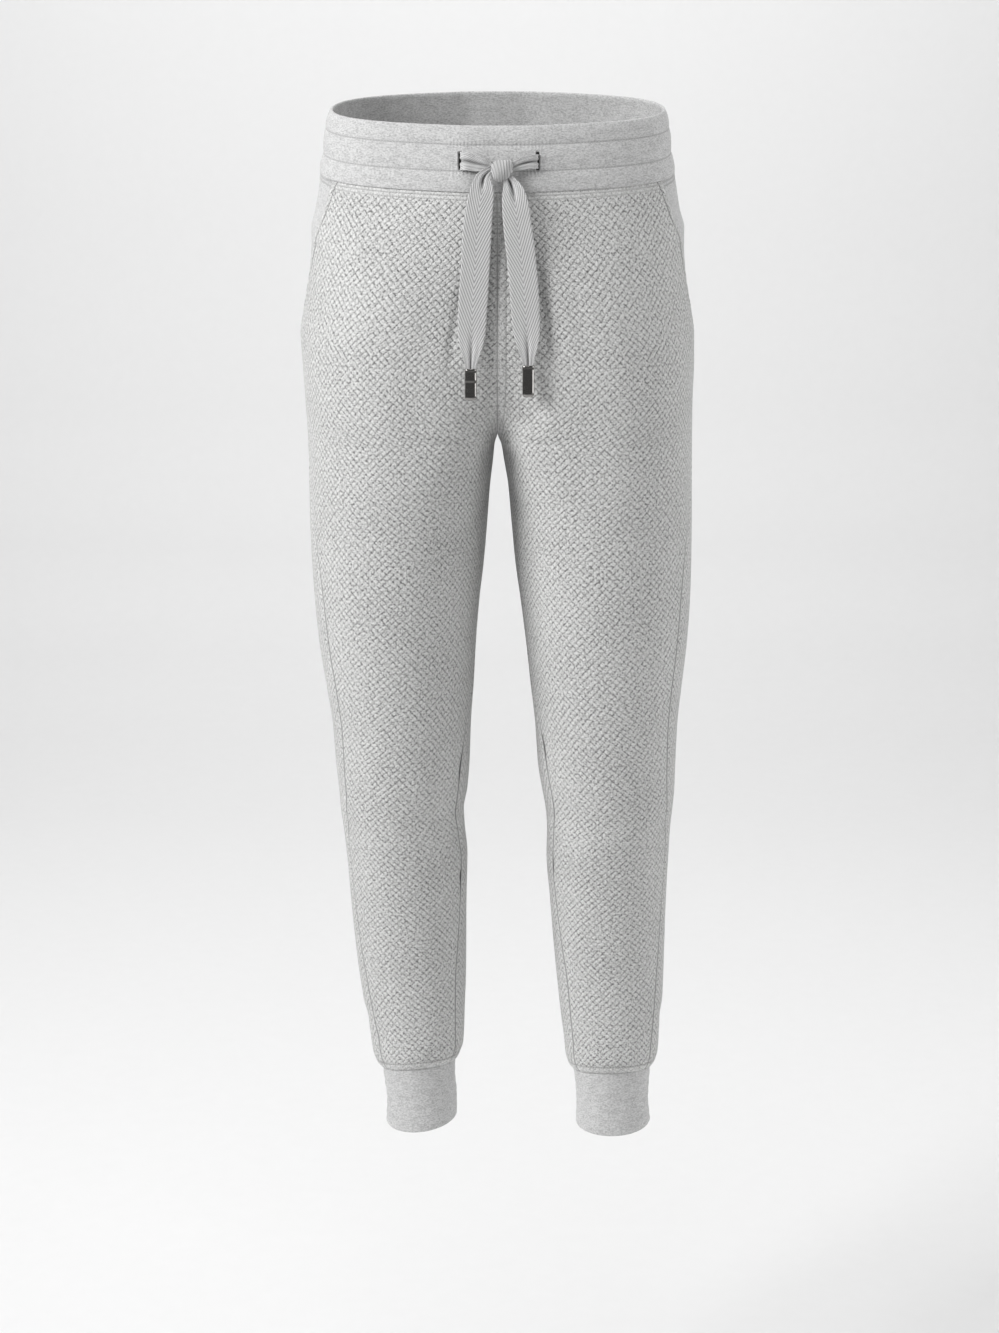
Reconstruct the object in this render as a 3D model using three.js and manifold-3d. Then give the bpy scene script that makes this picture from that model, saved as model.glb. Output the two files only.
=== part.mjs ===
// Jogger sweatpants: hollow cloth in the shape that they take when worn, standing straight.
// Millimetres, +Z up, front towards -Y. Left and right are the wearer's, so left is +X.
// The origin is the middle of the waist, level with the top of the waistband at the side seams.
import * as THREE from 'three';
import { mergeVertices } from 'three/addons/utils/BufferGeometryUtils.js';
import Module from 'manifold-3d';

// Cloth
const KNIT_WALL = 2.0;       // double-faced quilted knit
const JERSEY_WALL = 1.4;     // pocket facing
const CUFF_WALL = 2.4;       // jersey folded in two
const BAND_WALL = 3.2;       // jersey folded round its elastic
const SEAM_GAP = 0.3;        // between two pieces at a seam

// Heights of the sewing lines, before a line dips or rises round the body
const BAND_TOP = -2;
const WAIST_SEAM = -60;
const POCKET_END = -228;
const CROTCH = -308;
const HEM_SEAM = -972;
const CUFF_BOTTOM = -1028;

// The waist is lower at the front than at the back, by the same slope down to the hip
const WAIST_DIP = 18;
const WAIST_REACH = 118;     // from the middle of the waist to its front
const DIP_FADES = [-70, -250];
// The hem is drawn up over the instep, and each foot stands a little differently
const HEM_RISE = 14;
const RISE_FADES = [-820, -950];
const RISE_ENDS = [HEM_SEAM, CUFF_BOTTOM];
const STANCE = { L: { sign: 1, roll: -1.5, lift: 0 }, R: { sign: -1, roll: 4, lift: 4.5 } };

// One row for each level section of the two legs, in their own widths from the centre plane:
// out and in are the outer and the inner side, front and back the furthest points in Y, and
// side and inseam say where the two seams run, in quarter turns from the inner side, front first.
const SECTION = ['z', 'outL', 'inL', 'outR', 'inR', 'front', 'back', 'side', 'inseam'];
const SECTIONS = [
  [0, 158, 0, 157, 0, -108, 109, 2.12, 0],
  [-20, 162.5, 0, 162.5, 0, -111, 113, 2.12, 0],
  [-40, 164.5, 0, 164.5, 0, -113, 117, 2.12, 0],
  [-60, 168.5, 0, 168.5, 0, -115.5, 121, 2.12, 0],
  [-82, 172.2, 0, 171.5, 0, -118, 127, 2.12, 0],
  [-98, 175.2, 0, 175, 0, -119.5, 131, 2.11, 0],
  [-115, 179.8, 0, 178.8, 0, -120.5, 134, 2.11, 0],
  [-130, 180, 0, 179.3, 0, -121.5, 137, 2.1, 0],
  [-160, 182.5, 0, 182.6, 0, -122, 141, 2.08, 0],
  [-190, 186.5, 0, 186.5, 0, -122, 142, 2.05, 0],
  [-213, 189.3, 0, 189.5, 0, -122, 140.5, 2.03, 0],
  [-240, 190, 0, 188.2, 0, -121.5, 136, 2.01, 0],
  [-278, 188.8, 0, 185.6, 0, -120, 126, 1.97, 0],
  [-308, 188.7, 0, 183.8, 0, -118.5, 118, 1.94, 0],
  [-318, 188.7, 3.5, 183.4, 2.6, -118, 115.5, 1.92, 0],
  [-336, 188.8, 6.6, 183, 4.4, -117, 112, 1.9, 0],
  [-356, 189, 10, 183, 6.8, -116, 109, 1.86, 0],
  [-395, 189.7, 13.6, 182.8, 9.8, -113, 104, 1.77, 0.01],
  [-435, 189.9, 17.4, 181.5, 13.3, -109.5, 100, 1.69, 0.02],
  [-475, 189.2, 23, 179.2, 18, -106, 96, 1.65, 0.03],
  [-516, 186.9, 28.3, 175.6, 21.3, -102, 92, 1.63, 0.06],
  [-556, 182.8, 32.6, 169.7, 23.5, -98, 88, 1.62, 0.12],
  [-597, 179, 37.4, 163.9, 26.4, -93, 82.5, 1.63, 0.22],
  [-639, 177.6, 40.4, 161, 28, -87.5, 76, 1.65, 0.31],
  [-665, 177, 44.5, 158.5, 30.2, -83.5, 71.5, 1.67, 0.33],
  [-686, 175.4, 48.3, 157, 33.8, -79.5, 69, 1.71, 0.3],
  [-705, 173.8, 49.8, 154.8, 33, -76, 69.5, 1.74, 0.26],
  [-735, 172.8, 49.6, 152.2, 30.4, -70.5, 73, 1.75, 0.25],
  [-786, 171.4, 53.5, 149, 31.6, -62, 77, 1.72, 0.27],
  [-829, 170.9, 57, 145.7, 32, -56, 77.5, 1.68, 0.33],
  [-872, 170.4, 61, 141.3, 32.4, -51, 75.5, 1.63, 0.38],
  [-915, 169, 65.6, 135.3, 33.8, -47.5, 72, 1.61, 0.37],
  [-942, 166.8, 69, 130.8, 34.6, -46, 69, 1.6, 0.36],
  [-955, 165.8, 70.2, 128.8, 35.6, -45.5, 67.5, 1.6, 0.35],
  [-963, 163.8, 72.2, 126, 38.4, -44, 64.5, 1.6, 0.35],
  [-968, 161, 75, 122.8, 41, -41.5, 60.5, 1.6, 0.35],
  [-972, 158.6, 77.6, 119.4, 43.2, -38.8, 56, 1.6, 0.35],
  [-988, 156.8, 80.8, 116.6, 44, -36.4, 52.4, 1.6, 0.35],
  [-1006, 156.6, 82.2, 114.8, 42.6, -35.6, 51.4, 1.6, 0.35],
  [-1028, 158.5, 81.2, 115.5, 42, -36.6, 52.4, 1.6, 0.35],
];

// The two rise seams leave the front and the back at these heights and meet under the crotch
const RISE = {
  front: { start: -190, bulge: 2.5, turn: 3 },
  back: { start: -150, bulge: 2.1, turn: 2.5 },
};
const UNDER_STARTS = [-200, -270];
const UNDER_ENDS = [-330, -400];
const ARC_HANDLE = 0.56;     // cubic arc close to a quarter of an ellipse
// Beside the crotch the cloth spans from leg to leg, so the arcs run out fuller at the inner side
const SPAN = 0.38;
const SPAN_STARTS = [-298, CROTCH];
const SPAN_FADES = [CROTCH, -410];
const QUARTER_SHARE = 0.6;   // length of that arc, of the leg's width
// The arcs meet at a crown, a share of the width out from the inner side. At the waist it lies
// back from the middle of the front and slopes away, and lower down it is the fullest place.
const CROWN_AT_WAIST = 0.36;
const CROWN_ON_LEG = 0.5;
const CROWN_DROP = 7.5;
const CROWN_SLOPE = 0.26;

// Pocket mouth on the front: quarter turns at each height
const MOUTH = ['z', 'turn'];
const FACING_CLEARANCE = 1.4; // from the inside of the front, whose facets cut inside the curve
const FACING_EDGE = 6;        // of the facing still that deep, outside the mouth
const MOUTHS = [[-60, 1.63], [-98, 1.725], [-136, 1.82], [-165, 1.87], [-200, 1.945], [-228, 2.02]];

// Soft folds on a leg: from the turn and height of one end to those of the other, then the half
// width and the height above the cloth, which is below zero in a trough
const FOLD_TAPER = 0.35;     // share of its length over which a fold fades at each end
const FOLDS = [
  [0.12, -296, 0.8, -248, 13, -1.8],
  [0.1, -322, 0.75, -346, 12, -1.6],
  [0.5, -640, 1.35, -656, 15, 1.2],
  [0.25, -674, 1.1, -692, 11, -1.6],
  [1.3, -706, 1.9, -688, 12, -1.5],
  [0.7, -852, 1.5, -868, 16, -0.9],
  [2.5, -668, 3.8, -686, 12, -3.6],
  [2.4, -690, 3.6, -704, 11, 2.4],
  [2.7, -712, 3.7, -730, 12, -3.0],
  [2.9, -246, 3.8, -286, 16, -2.4],
  [2.6, -300, 3.8, -330, 15, -2.0],
  [2.3, -884, 3.2, -868, 12, -1.8],
  [1.85, -898, 2.15, -946, 9, -2.0],
  [2.6, -904, 2.9, -952, 10, -2.6],
  [3.3, -896, 3.6, -950, 10, -2.2],
  [2.1, -926, 3.4, -930, 9, 1.6],
];

// Waistband: three channels between its two rows of stitching, measured down from its top edge
const BAND_ROWS = [0, 16.5, 39.5, 58];
const CHANNEL_PUFF = 1.5;
const BAND_INSET = 0.8;      // the band lies this much inside the skin of the legs
const PUFF_SHARES = [0.04, 0.22, 0.5, 0.78, 0.96];
const PUFF_ROUND = 0.6;
const BUTTONHOLE = { x: [-31.7, 35.3], z: -49.6, height: 17, width: 4, depth: 1.8 };

// Drawstring tape: middle of each cross-section and its width there, from the exit to the end
const TAPE = ['x', 'y', 'z', 'width'];
const TAPE_THICK = 1.3;
const FOLDED_THICK = 2.4;
const LEADS = {
  lead_right: [[-31.7, -109.9, -49.6, 14.4], [-31.5, -113, -49.6, 14.6], [-29, -115.2, -49.8, 14.6],
    [-20, -116.4, -51.2, 13], [-12, -118.2, -53.4, 10], [-6.3, -119.5, -55.2, 8]],
  lead_left: [[35.3, -109.2, -50, 12.6], [35.1, -112.6, -50, 12.8], [32.8, -115, -50.2, 12.8],
    [25, -116.8, -51.2, 11.4], [19, -118.8, -53, 9.6], [14.6, -120.1, -54.8, 8]],
};
const TAILS = {
  tail_right: [[-11.4, -124.2, -57.6, 8], [-12.6, -124.6, -65, 13], [-13.8, -125, -78.5, 20.5],
    [-17.2, -125.8, -100, 25], [-20, -126, -144, 26], [-22.6, -126, -186, 26],
    [-23.4, -126, -205, 24.5], [-23.8, -126, -217, 20], [-24.2, -126, -228, 12.5],
    [-24.3, -126, -234.6, 8.4]],
  tail_left: [[10.8, -122.6, -66.6, 9], [13.4, -124, -73.5, 16], [15.6, -125.4, -84, 22.5],
    [18.4, -126, -108, 25.5], [22.6, -126.2, -144, 26.2], [25.6, -126.2, -184, 25.6],
    [26.8, -126, -203, 24], [27.5, -126, -214, 19.5], [28, -126, -225, 12.5],
    [28.3, -126, -231.6, 8.4]],
};
// The knot is a short barrel with square shoulders; one turn of the wrap stands out across it
const KNOT = {
  middle: [3.8, -122.2, -58], half: [10.6, 6.6, 10], lean: 0.09, end: 0.96, shoulder: 2.6, wrap: 0.06,
};
const KNOT_RINGS = 9;
const KNOT_AROUND = 16;
// Pressed metal tip: its top edge is turned in, and its lower corners are rounded
const TIP = { width: 10.6, thick: 6.2, length: 27.5, corner: 3, topEdge: 0.4, square: 0.6 };
const TIP_DROPS = [0, 0.4, 24.5, 25.9, 27, 27.5];
const TIP_AROUND = 20;

const FINISH = {
  knit: { color: 0xd2d2d1, roughness: 0.95 },
  jersey: { color: 0xc4c4c4, roughness: 0.9 },
  tape: { color: 0xb9b9b9, roughness: 0.85 },
  metal: { color: 0x5a5856, roughness: 0.22, metalness: 1 },
};

// Steps across which slopes of the skin are measured
const TURN_STEP = 0.01;
const HEIGHT_STEP = 0.5;

const clamp01 = (value) => Math.min(1, Math.max(0, value));
const smooth = (value) => clamp01(value) ** 2 * (3 - 2 * clamp01(value));
const ramp = ([from, to], value) => smooth((value - from) / (to - from));

// A column of a table at a height between its rows, on a curve that never overshoots the rows
function column(table, index, z) {
  const last = table.length - 1;
  let row = table.findIndex((entry) => entry[0] <= z);
  row = row < 0 ? last : Math.max(row, 1);
  const slope = (i) => (table[i][index] - table[i - 1][index]) / (table[i][0] - table[i - 1][0]);
  const tangent = (i) => {
    if (i === 0) return slope(1);
    if (i === last) return slope(last);
    const [above, below] = [slope(i), slope(i + 1)];
    return above * below <= 0 ? 0 : (2 * above * below) / (above + below);
  };
  const step = table[row][0] - table[row - 1][0];
  const t = clamp01((z - table[row - 1][0]) / step);
  const above = (1 + 2 * t) * table[row - 1][index] + t * step * tangent(row - 1);
  const below = (3 - 2 * t) * table[row][index] + (t - 1) * step * tangent(row);
  return (1 - t) ** 2 * above + t * t * below;
}
const section = (name, z) => column(SECTIONS, SECTION.indexOf(name), z);
const mouth = (z) => column(MOUTHS, MOUTH.indexOf('turn'), z);

// How far a sewing line stands above or below its own height. It follows the slope of the waist,
// and on the leg the place across and forward in its section, each from -1 to 1.
function lineShift(side, z, y, outside, forward) {
  const { roll, lift } = STANCE[side];
  const waist = ((WAIST_DIP * y) / WAIST_REACH) * (1 - ramp(DIP_FADES, z));
  const low = ramp(RISE_FADES, z);
  const hem = HEM_RISE * (0.5 + 0.5 * forward) ** 2 * low * (1 - ramp(RISE_ENDS, z));
  return waist + hem + low * (lift - roll * outside);
}

// Where a rise seam runs: front or back of the section, rounding under to the crotch
function riseSeam(which, z) {
  const { start, bulge, turn } = RISE[which];
  const t = clamp01((start - z) / (start - CROTCH));
  const under = (section('front', CROTCH) + section('back', CROTCH)) / 2;
  const y = under + (section(which, z) - under) * (1 - t ** bulge) ** (1 / bulge);
  return { y, angle: (Math.PI / 2) * t ** turn };
}

// A cubic arc that leaves and meets its ends at their own angles from the X axis
function arcBetween(from, to) {
  const [dx, dy] = [to.x - from.x, to.y - from.y];
  const handle = ({ angle, reach = ARC_HANDLE }) => {
    const way = new THREE.Vector2(Math.sign(dx) * Math.cos(angle), Math.sign(dy) * Math.sin(angle));
    return way.multiplyScalar(reach * way.dot(new THREE.Vector2(dx, dy)));
  };
  const [start, end] = [new THREE.Vector2(from.x, from.y), new THREE.Vector2(to.x, to.y)];
  return new THREE.CubicBezierCurve(
    start, start.clone().add(handle(from)), end.clone().sub(handle(to)), end,
  );
}

// A level section is four cubic arcs: inner side to front, to outer side, to back, to inner side.
// Above the crotch its two inner ends lie on the centre plane, on the rise seams.
function plainSkin(side, turn, z) {
  const wrapped = z > CROTCH ? Math.min(4, Math.max(0, turn)) : (turn + 4) % 4;
  const quarter = Math.min(3, Math.floor(wrapped));
  const [outer, inner] = [section(`out${side}`, z), z > CROTCH ? 0 : section(`in${side}`, z)];
  const [front, back] = [section('front', z), section('back', z)];
  const middle = (front + back) / 2;
  const low = ramp([WAIST_SEAM, CROTCH], z);
  const crown = inner + (outer - inner) * (CROWN_AT_WAIST + (CROWN_ON_LEG - CROWN_AT_WAIST) * low);
  const closed = { y: middle, angle: Math.PI / 2 };
  const [rise, seat] = z > CROTCH ? [riseSeam('front', z), riseSeam('back', z)] : [closed, closed];
  const round = (start) => 1 - ramp([WAIST_SEAM, start], z);
  const [ahead, behind] = [round(RISE.front.start), round(RISE.back.start)];
  const spanning = z > CROTCH ? ramp(SPAN_STARTS, z) : 1 - ramp(SPAN_FADES, z);
  const reach = ARC_HANDLE + SPAN * spanning;
  const corners = [
    { x: inner, y: rise.y, angle: rise.angle, reach },
    { x: crown, y: front + CROWN_DROP * ahead, angle: CROWN_SLOPE * ahead },
    { x: outer, y: middle, angle: Math.PI / 2 },
    { x: crown, y: back - CROWN_DROP * behind, angle: CROWN_SLOPE * behind },
    { x: inner, y: seat.y, angle: seat.angle, reach },
  ];
  const point = arcBetween(corners[quarter], corners[quarter + 1]).getPoint(wrapped - quarter);
  const outside = (point.x - (inner + outer) / 2) / ((outer - inner) / 2);
  const forward = (middle - point.y) / (middle - front);
  const height = z + lineShift(side, z, point.y, outside, forward);
  return new THREE.Vector3(STANCE[side].sign * point.x, point.y, height);
}

// Level, so that pieces meet squarely at their seams, except where the skin rounds under the crotch
function outwards(side, turn, z) {
  const low = z > CROTCH ? Math.max(0, turn - TURN_STEP) : turn - TURN_STEP;
  const high = z > CROTCH ? Math.min(4, turn + TURN_STEP) : turn + TURN_STEP;
  const across = plainSkin(side, high, z).sub(plainSkin(side, low, z));
  const down = plainSkin(side, turn, z - HEIGHT_STEP).sub(plainSkin(side, turn, z + HEIGHT_STEP));
  const normal = down.cross(across).multiplyScalar(STANCE[side].sign).normalize();
  normal.z *= ramp(UNDER_STARTS, z) * (1 - ramp(UNDER_ENDS, z));
  return normal.normalize();
}

// About how long a quarter turn of a leg is
const quarterLength = (z) => QUARTER_SHARE * (section('outL', z) - section('inL', z));

function foldHeight(turn, z) {
  let height = 0;
  for (const [turn0, z0, turn1, z1, halfWidth, rise] of FOLDS) {
    const reach = quarterLength((z0 + z1) / 2);
    const [alongX, alongZ] = [(turn1 - turn0) * reach, z1 - z0];
    const [dx, dz] = [(turn - turn0) * reach, z - z0];
    const length = Math.hypot(alongX, alongZ);
    const along = (dx * alongX + dz * alongZ) / length ** 2;
    const across = (dx * alongZ - dz * alongX) / length;
    const ends = smooth(along / FOLD_TAPER) * smooth((1 - along) / FOLD_TAPER);
    height += rise * ends * Math.exp(-((across / halfWidth) ** 2));
  }
  return height;
}

// The skin of the legs, moved in by a depth along its own normal
function skin(side, turn, z, depth = 0) {
  const lift = foldHeight(turn, z) - depth;
  return plainSkin(side, turn, z).addScaledVector(outwards(side, turn, z), lift);
}

// A turn moved round the leg by a few millimetres
function shiftTurn(side, turn, z, distance) {
  const [before, after] = [turn - TURN_STEP, turn + TURN_STEP];
  const stride = plainSkin(side, after, z).distanceTo(plainSkin(side, before, z));
  return turn + (2 * TURN_STEP * distance) / stride;
}

// Closed mesh from a grid of points: every row is a loop of an even number of points, and the rows
// join up into a ring, or the first and the last are capped straight across the wall
function gridGeometry(rows, capped) {
  const width = rows[0].length;
  const positions = rows.flat().flatMap((point) => [point.x, point.y, point.z]);
  const faces = [];
  const lastRow = capped ? rows.length - 1 : rows.length;
  for (let i = 0; i < lastRow; i += 1) {
    const next = (i + 1) % rows.length;
    for (let j = 0; j < width; j += 1) {
      const [a, b] = [i * width + j, i * width + ((j + 1) % width)];
      const [c, d] = [next * width + j, next * width + ((j + 1) % width)];
      faces.push(a, c, b, b, c, d);
    }
  }
  if (capped) {
    const end = (rows.length - 1) * width;
    for (let j = 0; j < width / 2 - 1; j += 1) {
      const [a, b, c, d] = [j, j + 1, width - 1 - j, width - 2 - j];
      faces.push(a, b, c, b, d, c, end + a, end + c, end + b, end + b, end + c, end + d);
    }
  }
  const geometry = new THREE.BufferGeometry();
  geometry.setAttribute('position', new THREE.Float32BufferAttribute(positions, 3));
  geometry.setIndex(faces);
  return facingOut(geometry);
}

// Turns every face over where the enclosed volume comes out below zero
function facingOut(geometry) {
  const [position, index] = [geometry.getAttribute('position'), geometry.getIndex()];
  const corner = (i) => new THREE.Vector3().fromBufferAttribute(position, index.getX(i));
  let volume = 0;
  for (let i = 0; i < index.count; i += 3) {
    volume += corner(i).dot(corner(i + 1).cross(corner(i + 2)));
  }
  if (volume < 0) {
    for (let i = 0; i < index.count; i += 3) {
      const swapped = index.getX(i + 1);
      index.setX(i + 1, index.getX(i + 2));
      index.setX(i + 2, swapped);
    }
  }
  geometry.computeVertexNormals();
  return geometry;
}

// The turn on the front half where the skin lies at a distance from the centre plane
function turnAcross(side, x, z) {
  let [near, far] = [0, 1];
  for (let i = 0; i < 20; i += 1) {
    const turn = (near + far) / 2;
    if (Math.abs(plainSkin(side, turn, z).x) < x) near = turn;
    else far = turn;
  }
  return near;
}

// An open piece of cloth: each row goes across the face and comes back along the inside
function clothPiece(heights, turnsAt, faceAt) {
  return gridGeometry(heights.map((z) => {
    const turns = turnsAt(z);
    const face = turns.map((turn) => faceAt(turn, z, 'outside'));
    const inside = turns.map((turn) => faceAt(turn, z, 'inside')).reverse();
    return [...face, ...inside];
  }), true);
}

// Evenly spaced values from one end to the other
function spread(from, to, count) {
  return Array.from({ length: count + 1 }, (_, i) => from + ((to - from) * i) / count);
}

// Rows close up where the rise seams round under the crotch and where the hem turns in
const PANEL_ROWS = [
  WAIST_SEAM - SEAM_GAP / 2, -72, -86, -100, -115, -132, -152, -172, -192, -210, POCKET_END,
  -246, -262, -275, -286, -295, -301, -305, -307.4, CROTCH, -309.2, -313, -321, -336, -356,
  -395, -435, -475, -516, -556, -597, -639, -658, -672, -686, -700, -716, -745, -786, -829,
  -868, -900, -922, -938, -950, -958, -964, -968, HEM_SEAM + SEAM_GAP / 2,
];
const PANEL_COLUMNS = 11;
const FACING_COLUMNS = 5;

// Both halves of a seam keep half the gap; on the centre plane the gap lies across X
function panelPoint(side, turn, z, depth) {
  const point = skin(side, turn, z, depth);
  if (z >= CROTCH) point.x = STANCE[side].sign * Math.max(SEAM_GAP / 2, Math.abs(point.x));
  return point;
}

function legPanel(side, startAt, endAt) {
  const face = (turn, z, which) => panelPoint(side, turn, z, which === 'outside' ? 0 : KNIT_WALL);
  return clothPiece(PANEL_ROWS, (z) => {
    const start = shiftTurn(side, startAt(z), z, z > CROTCH && startAt(z) === 0 ? 0 : SEAM_GAP / 2);
    const end = shiftTurn(side, endAt(z), z, z > CROTCH && endAt(z) === 4 ? 0 : -SEAM_GAP / 2);
    return spread(start, end, PANEL_COLUMNS);
  }, face);
}

const sideSeam = (z) => section('side', z);
const inseam = (z) => (z > CROTCH ? 0 : section('inseam', z));
const frontEdge = (z) => (z > POCKET_END ? mouth(z) : sideSeam(z));
const frontPanel = (side) => legPanel(side, inseam, frontEdge);
const backPanel = (side) => legPanel(side, sideSeam, (z) => inseam(z) + 4);

// The facing starts one column under the front panel and comes up level with the back at the seam
function pocketFacing(side) {
  const under = KNIT_WALL + FACING_CLEARANCE;
  const rows = PANEL_ROWS.filter((z) => z >= POCKET_END);
  return clothPiece(rows, (z) => {
    const end = shiftTurn(side, sideSeam(z), z, -SEAM_GAP / 2);
    return [mouth(z) * (1 - 1 / PANEL_COLUMNS), ...spread(mouth(z), end, FACING_COLUMNS)];
  }, (turn, z, which) => {
    const edge = shiftTurn(side, mouth(z), z, FACING_EDGE);
    const flush = sideSeam(z) > edge ? smooth((turn - edge) / (sideSeam(z) - edge)) : 0;
    const depth = under * (1 - flush) + (which === 'outside' ? 0 : JERSEY_WALL);
    return skin(side, turn, z, depth);
  });
}

// A ring of cloth: at each column round the body, a closed outline of turns, heights and depths
function ringPiece(columns, outline) {
  return gridGeometry(columns.map(({ side, turn }) => (
    outline.map(({ z, depth }) => skin(side, turn, z, depth))
  )), false);
}

function bandOutline() {
  const outside = [];
  for (let i = 1; i < BAND_ROWS.length; i += 1) {
    const [top, bottom] = [BAND_ROWS[i - 1], BAND_ROWS[i]];
    for (const share of PUFF_SHARES) {
      const puff = CHANNEL_PUFF * Math.sin(Math.PI * share) ** PUFF_ROUND;
      outside.push({ z: BAND_TOP - top - (bottom - top) * share, depth: BAND_INSET - puff });
    }
  }
  const inner = BAND_INSET + BAND_WALL - CHANNEL_PUFF / 2;
  const inside = [WAIST_SEAM + SEAM_GAP / 2, -40, -20, BAND_TOP - 1].map((z) => ({ z, depth: inner }));
  const foot = { z: WAIST_SEAM + SEAM_GAP / 2, depth: BAND_INSET };
  return [...outside, foot, ...inside, { z: BAND_TOP, depth: (inner + BAND_INSET) / 2 }];
}

function waistband() {
  const [front, back] = [mouth(WAIST_SEAM), sideSeam(WAIST_SEAM)];
  const turns = [
    ...spread(0, front, PANEL_COLUMNS), ...spread(front, back, 3).slice(1, -1),
    ...spread(back, 4, PANEL_COLUMNS),
  ];
  const round = [
    ...turns.map((turn) => ({ side: 'L', turn })),
    ...turns.slice(1, -1).reverse().map((turn) => ({ side: 'R', turn })),
  ];
  return ringPiece(round, bandOutline());
}

function cuff(side) {
  const [start, middle] = [inseam(HEM_SEAM), sideSeam(HEM_SEAM)];
  const turns = [
    ...spread(start, middle, PANEL_COLUMNS), ...spread(middle, start + 4, PANEL_COLUMNS).slice(1, -1),
  ];
  const round = turns.map((turn) => ({ side, turn }));
  const heights = [HEM_SEAM - SEAM_GAP / 2, -980, -996, -1012, CUFF_BOTTOM + 1.5];
  const outside = heights.map((z) => ({ z, depth: 0 }));
  const inside = [...heights].reverse().map((z) => ({ z, depth: CUFF_WALL }));
  return ringPiece(round, [...outside, { z: CUFF_BOTTOM, depth: CUFF_WALL / 2 }, ...inside]);
}

// Tape: a flat eight-sided section carried along its stations, its width square to its path
const FLAT_SECTION = [
  [-1, -0.4], [-1, 0.4], [-0.8, 1], [0.8, 1], [1, 0.4], [1, -0.4], [0.8, -1], [-0.8, -1],
];

function tapeStretch(stations, thickness) {
  const middles = stations.map(([x, y, z]) => new THREE.Vector3(x, y, z));
  return gridGeometry(stations.map((station, i) => {
    const [before, after] = [middles[Math.max(0, i - 1)], middles[Math.min(middles.length - 1, i + 1)]];
    const along = after.clone().sub(before).normalize();
    const across = along.clone().cross(new THREE.Vector3(0, 1, 0)).normalize();
    const through = across.clone().cross(along).normalize();
    return FLAT_SECTION.map(([a, t]) => middles[i].clone()
      .addScaledVector(across, (a * station[TAPE.indexOf('width')]) / 2)
      .addScaledVector(through, (t * thickness) / 2));
  }), true);
}

function knot() {
  const rows = spread(-KNOT.end, KNOT.end, KNOT_RINGS).map((along) => {
    const size = (1 - Math.abs(along) ** KNOT.shoulder) ** (1 / KNOT.shoulder);
    return spread(0, 2 * Math.PI, KNOT_AROUND).slice(0, -1).map((angle) => {
      const girth = size * (1 + KNOT.wrap * Math.cos(3 * along + 2 * angle));
      const [y, z] = [girth * Math.cos(angle), girth * Math.sin(angle)];
      const point = new THREE.Vector3(along + KNOT.lean * size * Math.sin(angle), y, z);
      return point.multiply(new THREE.Vector3(...KNOT.half)).add(new THREE.Vector3(...KNOT.middle));
    });
  });
  return gridGeometry(rows, true);
}

function tip(tail) {
  const [x, y, z] = tail[tail.length - 1];
  const squared = (value) => Math.sign(value) * Math.abs(value) ** TIP.square;
  return gridGeometry(TIP_DROPS.map((drop) => {
    const corner = Math.max(0, drop - (TIP.length - TIP.corner));
    const round = TIP.corner - Math.sqrt(TIP.corner ** 2 - corner ** 2);
    const narrow = drop === 0 ? TIP.topEdge : round;
    const [a, b] = [TIP.width / 2 - narrow, TIP.thick / 2 - Math.min(narrow, TIP.thick / 3)];
    return spread(0, 2 * Math.PI, TIP_AROUND).slice(0, -1).map((angle) => new THREE.Vector3(
      x + a * squared(Math.cos(angle)), y + b * squared(Math.sin(angle)), z - SEAM_GAP - drop,
    ));
  }), true);
}

// The buttonholes are pockets cut into the face of the band, where the tape comes out
async function cutButtonholes(band) {
  const wasm = await Module();
  wasm.setup();
  const solid = (geometry) => {
    const bare = geometry.clone();
    bare.deleteAttribute('normal');
    bare.deleteAttribute('uv');
    const merged = mergeVertices(bare, 1e-4);
    return new wasm.Manifold(new wasm.Mesh({
      numProp: 3,
      vertProperties: new Float32Array(merged.getAttribute('position').array),
      triVerts: new Uint32Array(merged.getIndex().array),
    }));
  };
  let result = solid(band);
  const { z, height, width, depth } = BUTTONHOLE;
  for (const x of BUTTONHOLE.x) {
    const level = z + WAIST_DIP;
    const side = x > 0 ? 'L' : 'R';
    const face = skin(side, turnAcross(side, Math.abs(x), level), level, BAND_INSET - CHANNEL_PUFF / 2);
    const cutter = new THREE.BoxGeometry(width, BAND_WALL * 4, height);
    cutter.translate(x, face.y + depth - BAND_WALL * 2, z);
    result = result.subtract(solid(cutter));
  }
  const mesh = result.getMesh();
  const geometry = new THREE.BufferGeometry();
  geometry.setAttribute('position', new THREE.Float32BufferAttribute(mesh.vertProperties, 3));
  geometry.setIndex([...mesh.triVerts]);
  geometry.computeVertexNormals();
  return geometry;
}

const sweatpants = new THREE.Group();
function add(name, geometry, finish) {
  const mesh = new THREE.Mesh(geometry, new THREE.MeshStandardMaterial(finish));
  mesh.name = name;
  sweatpants.add(mesh);
}

add('waistband', await cutButtonholes(waistband()), FINISH.jersey);
for (const [side, name] of [['L', 'left'], ['R', 'right']]) {
  add(`front_${name}`, frontPanel(side), FINISH.knit);
  add(`back_${name}`, backPanel(side), FINISH.knit);
  add(`pocket_facing_${name}`, pocketFacing(side), FINISH.jersey);
  add(`cuff_${name}`, cuff(side), FINISH.jersey);
  add(`lead_${name}`, tapeStretch(LEADS[`lead_${name}`], FOLDED_THICK), FINISH.tape);
  add(`tail_${name}`, tapeStretch(TAILS[`tail_${name}`], TAPE_THICK), FINISH.tape);
  add(`tip_${name}`, tip(TAILS[`tail_${name}`]), FINISH.metal);
}
add('knot', knot(), FINISH.tape);

export default sweatpants;
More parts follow.
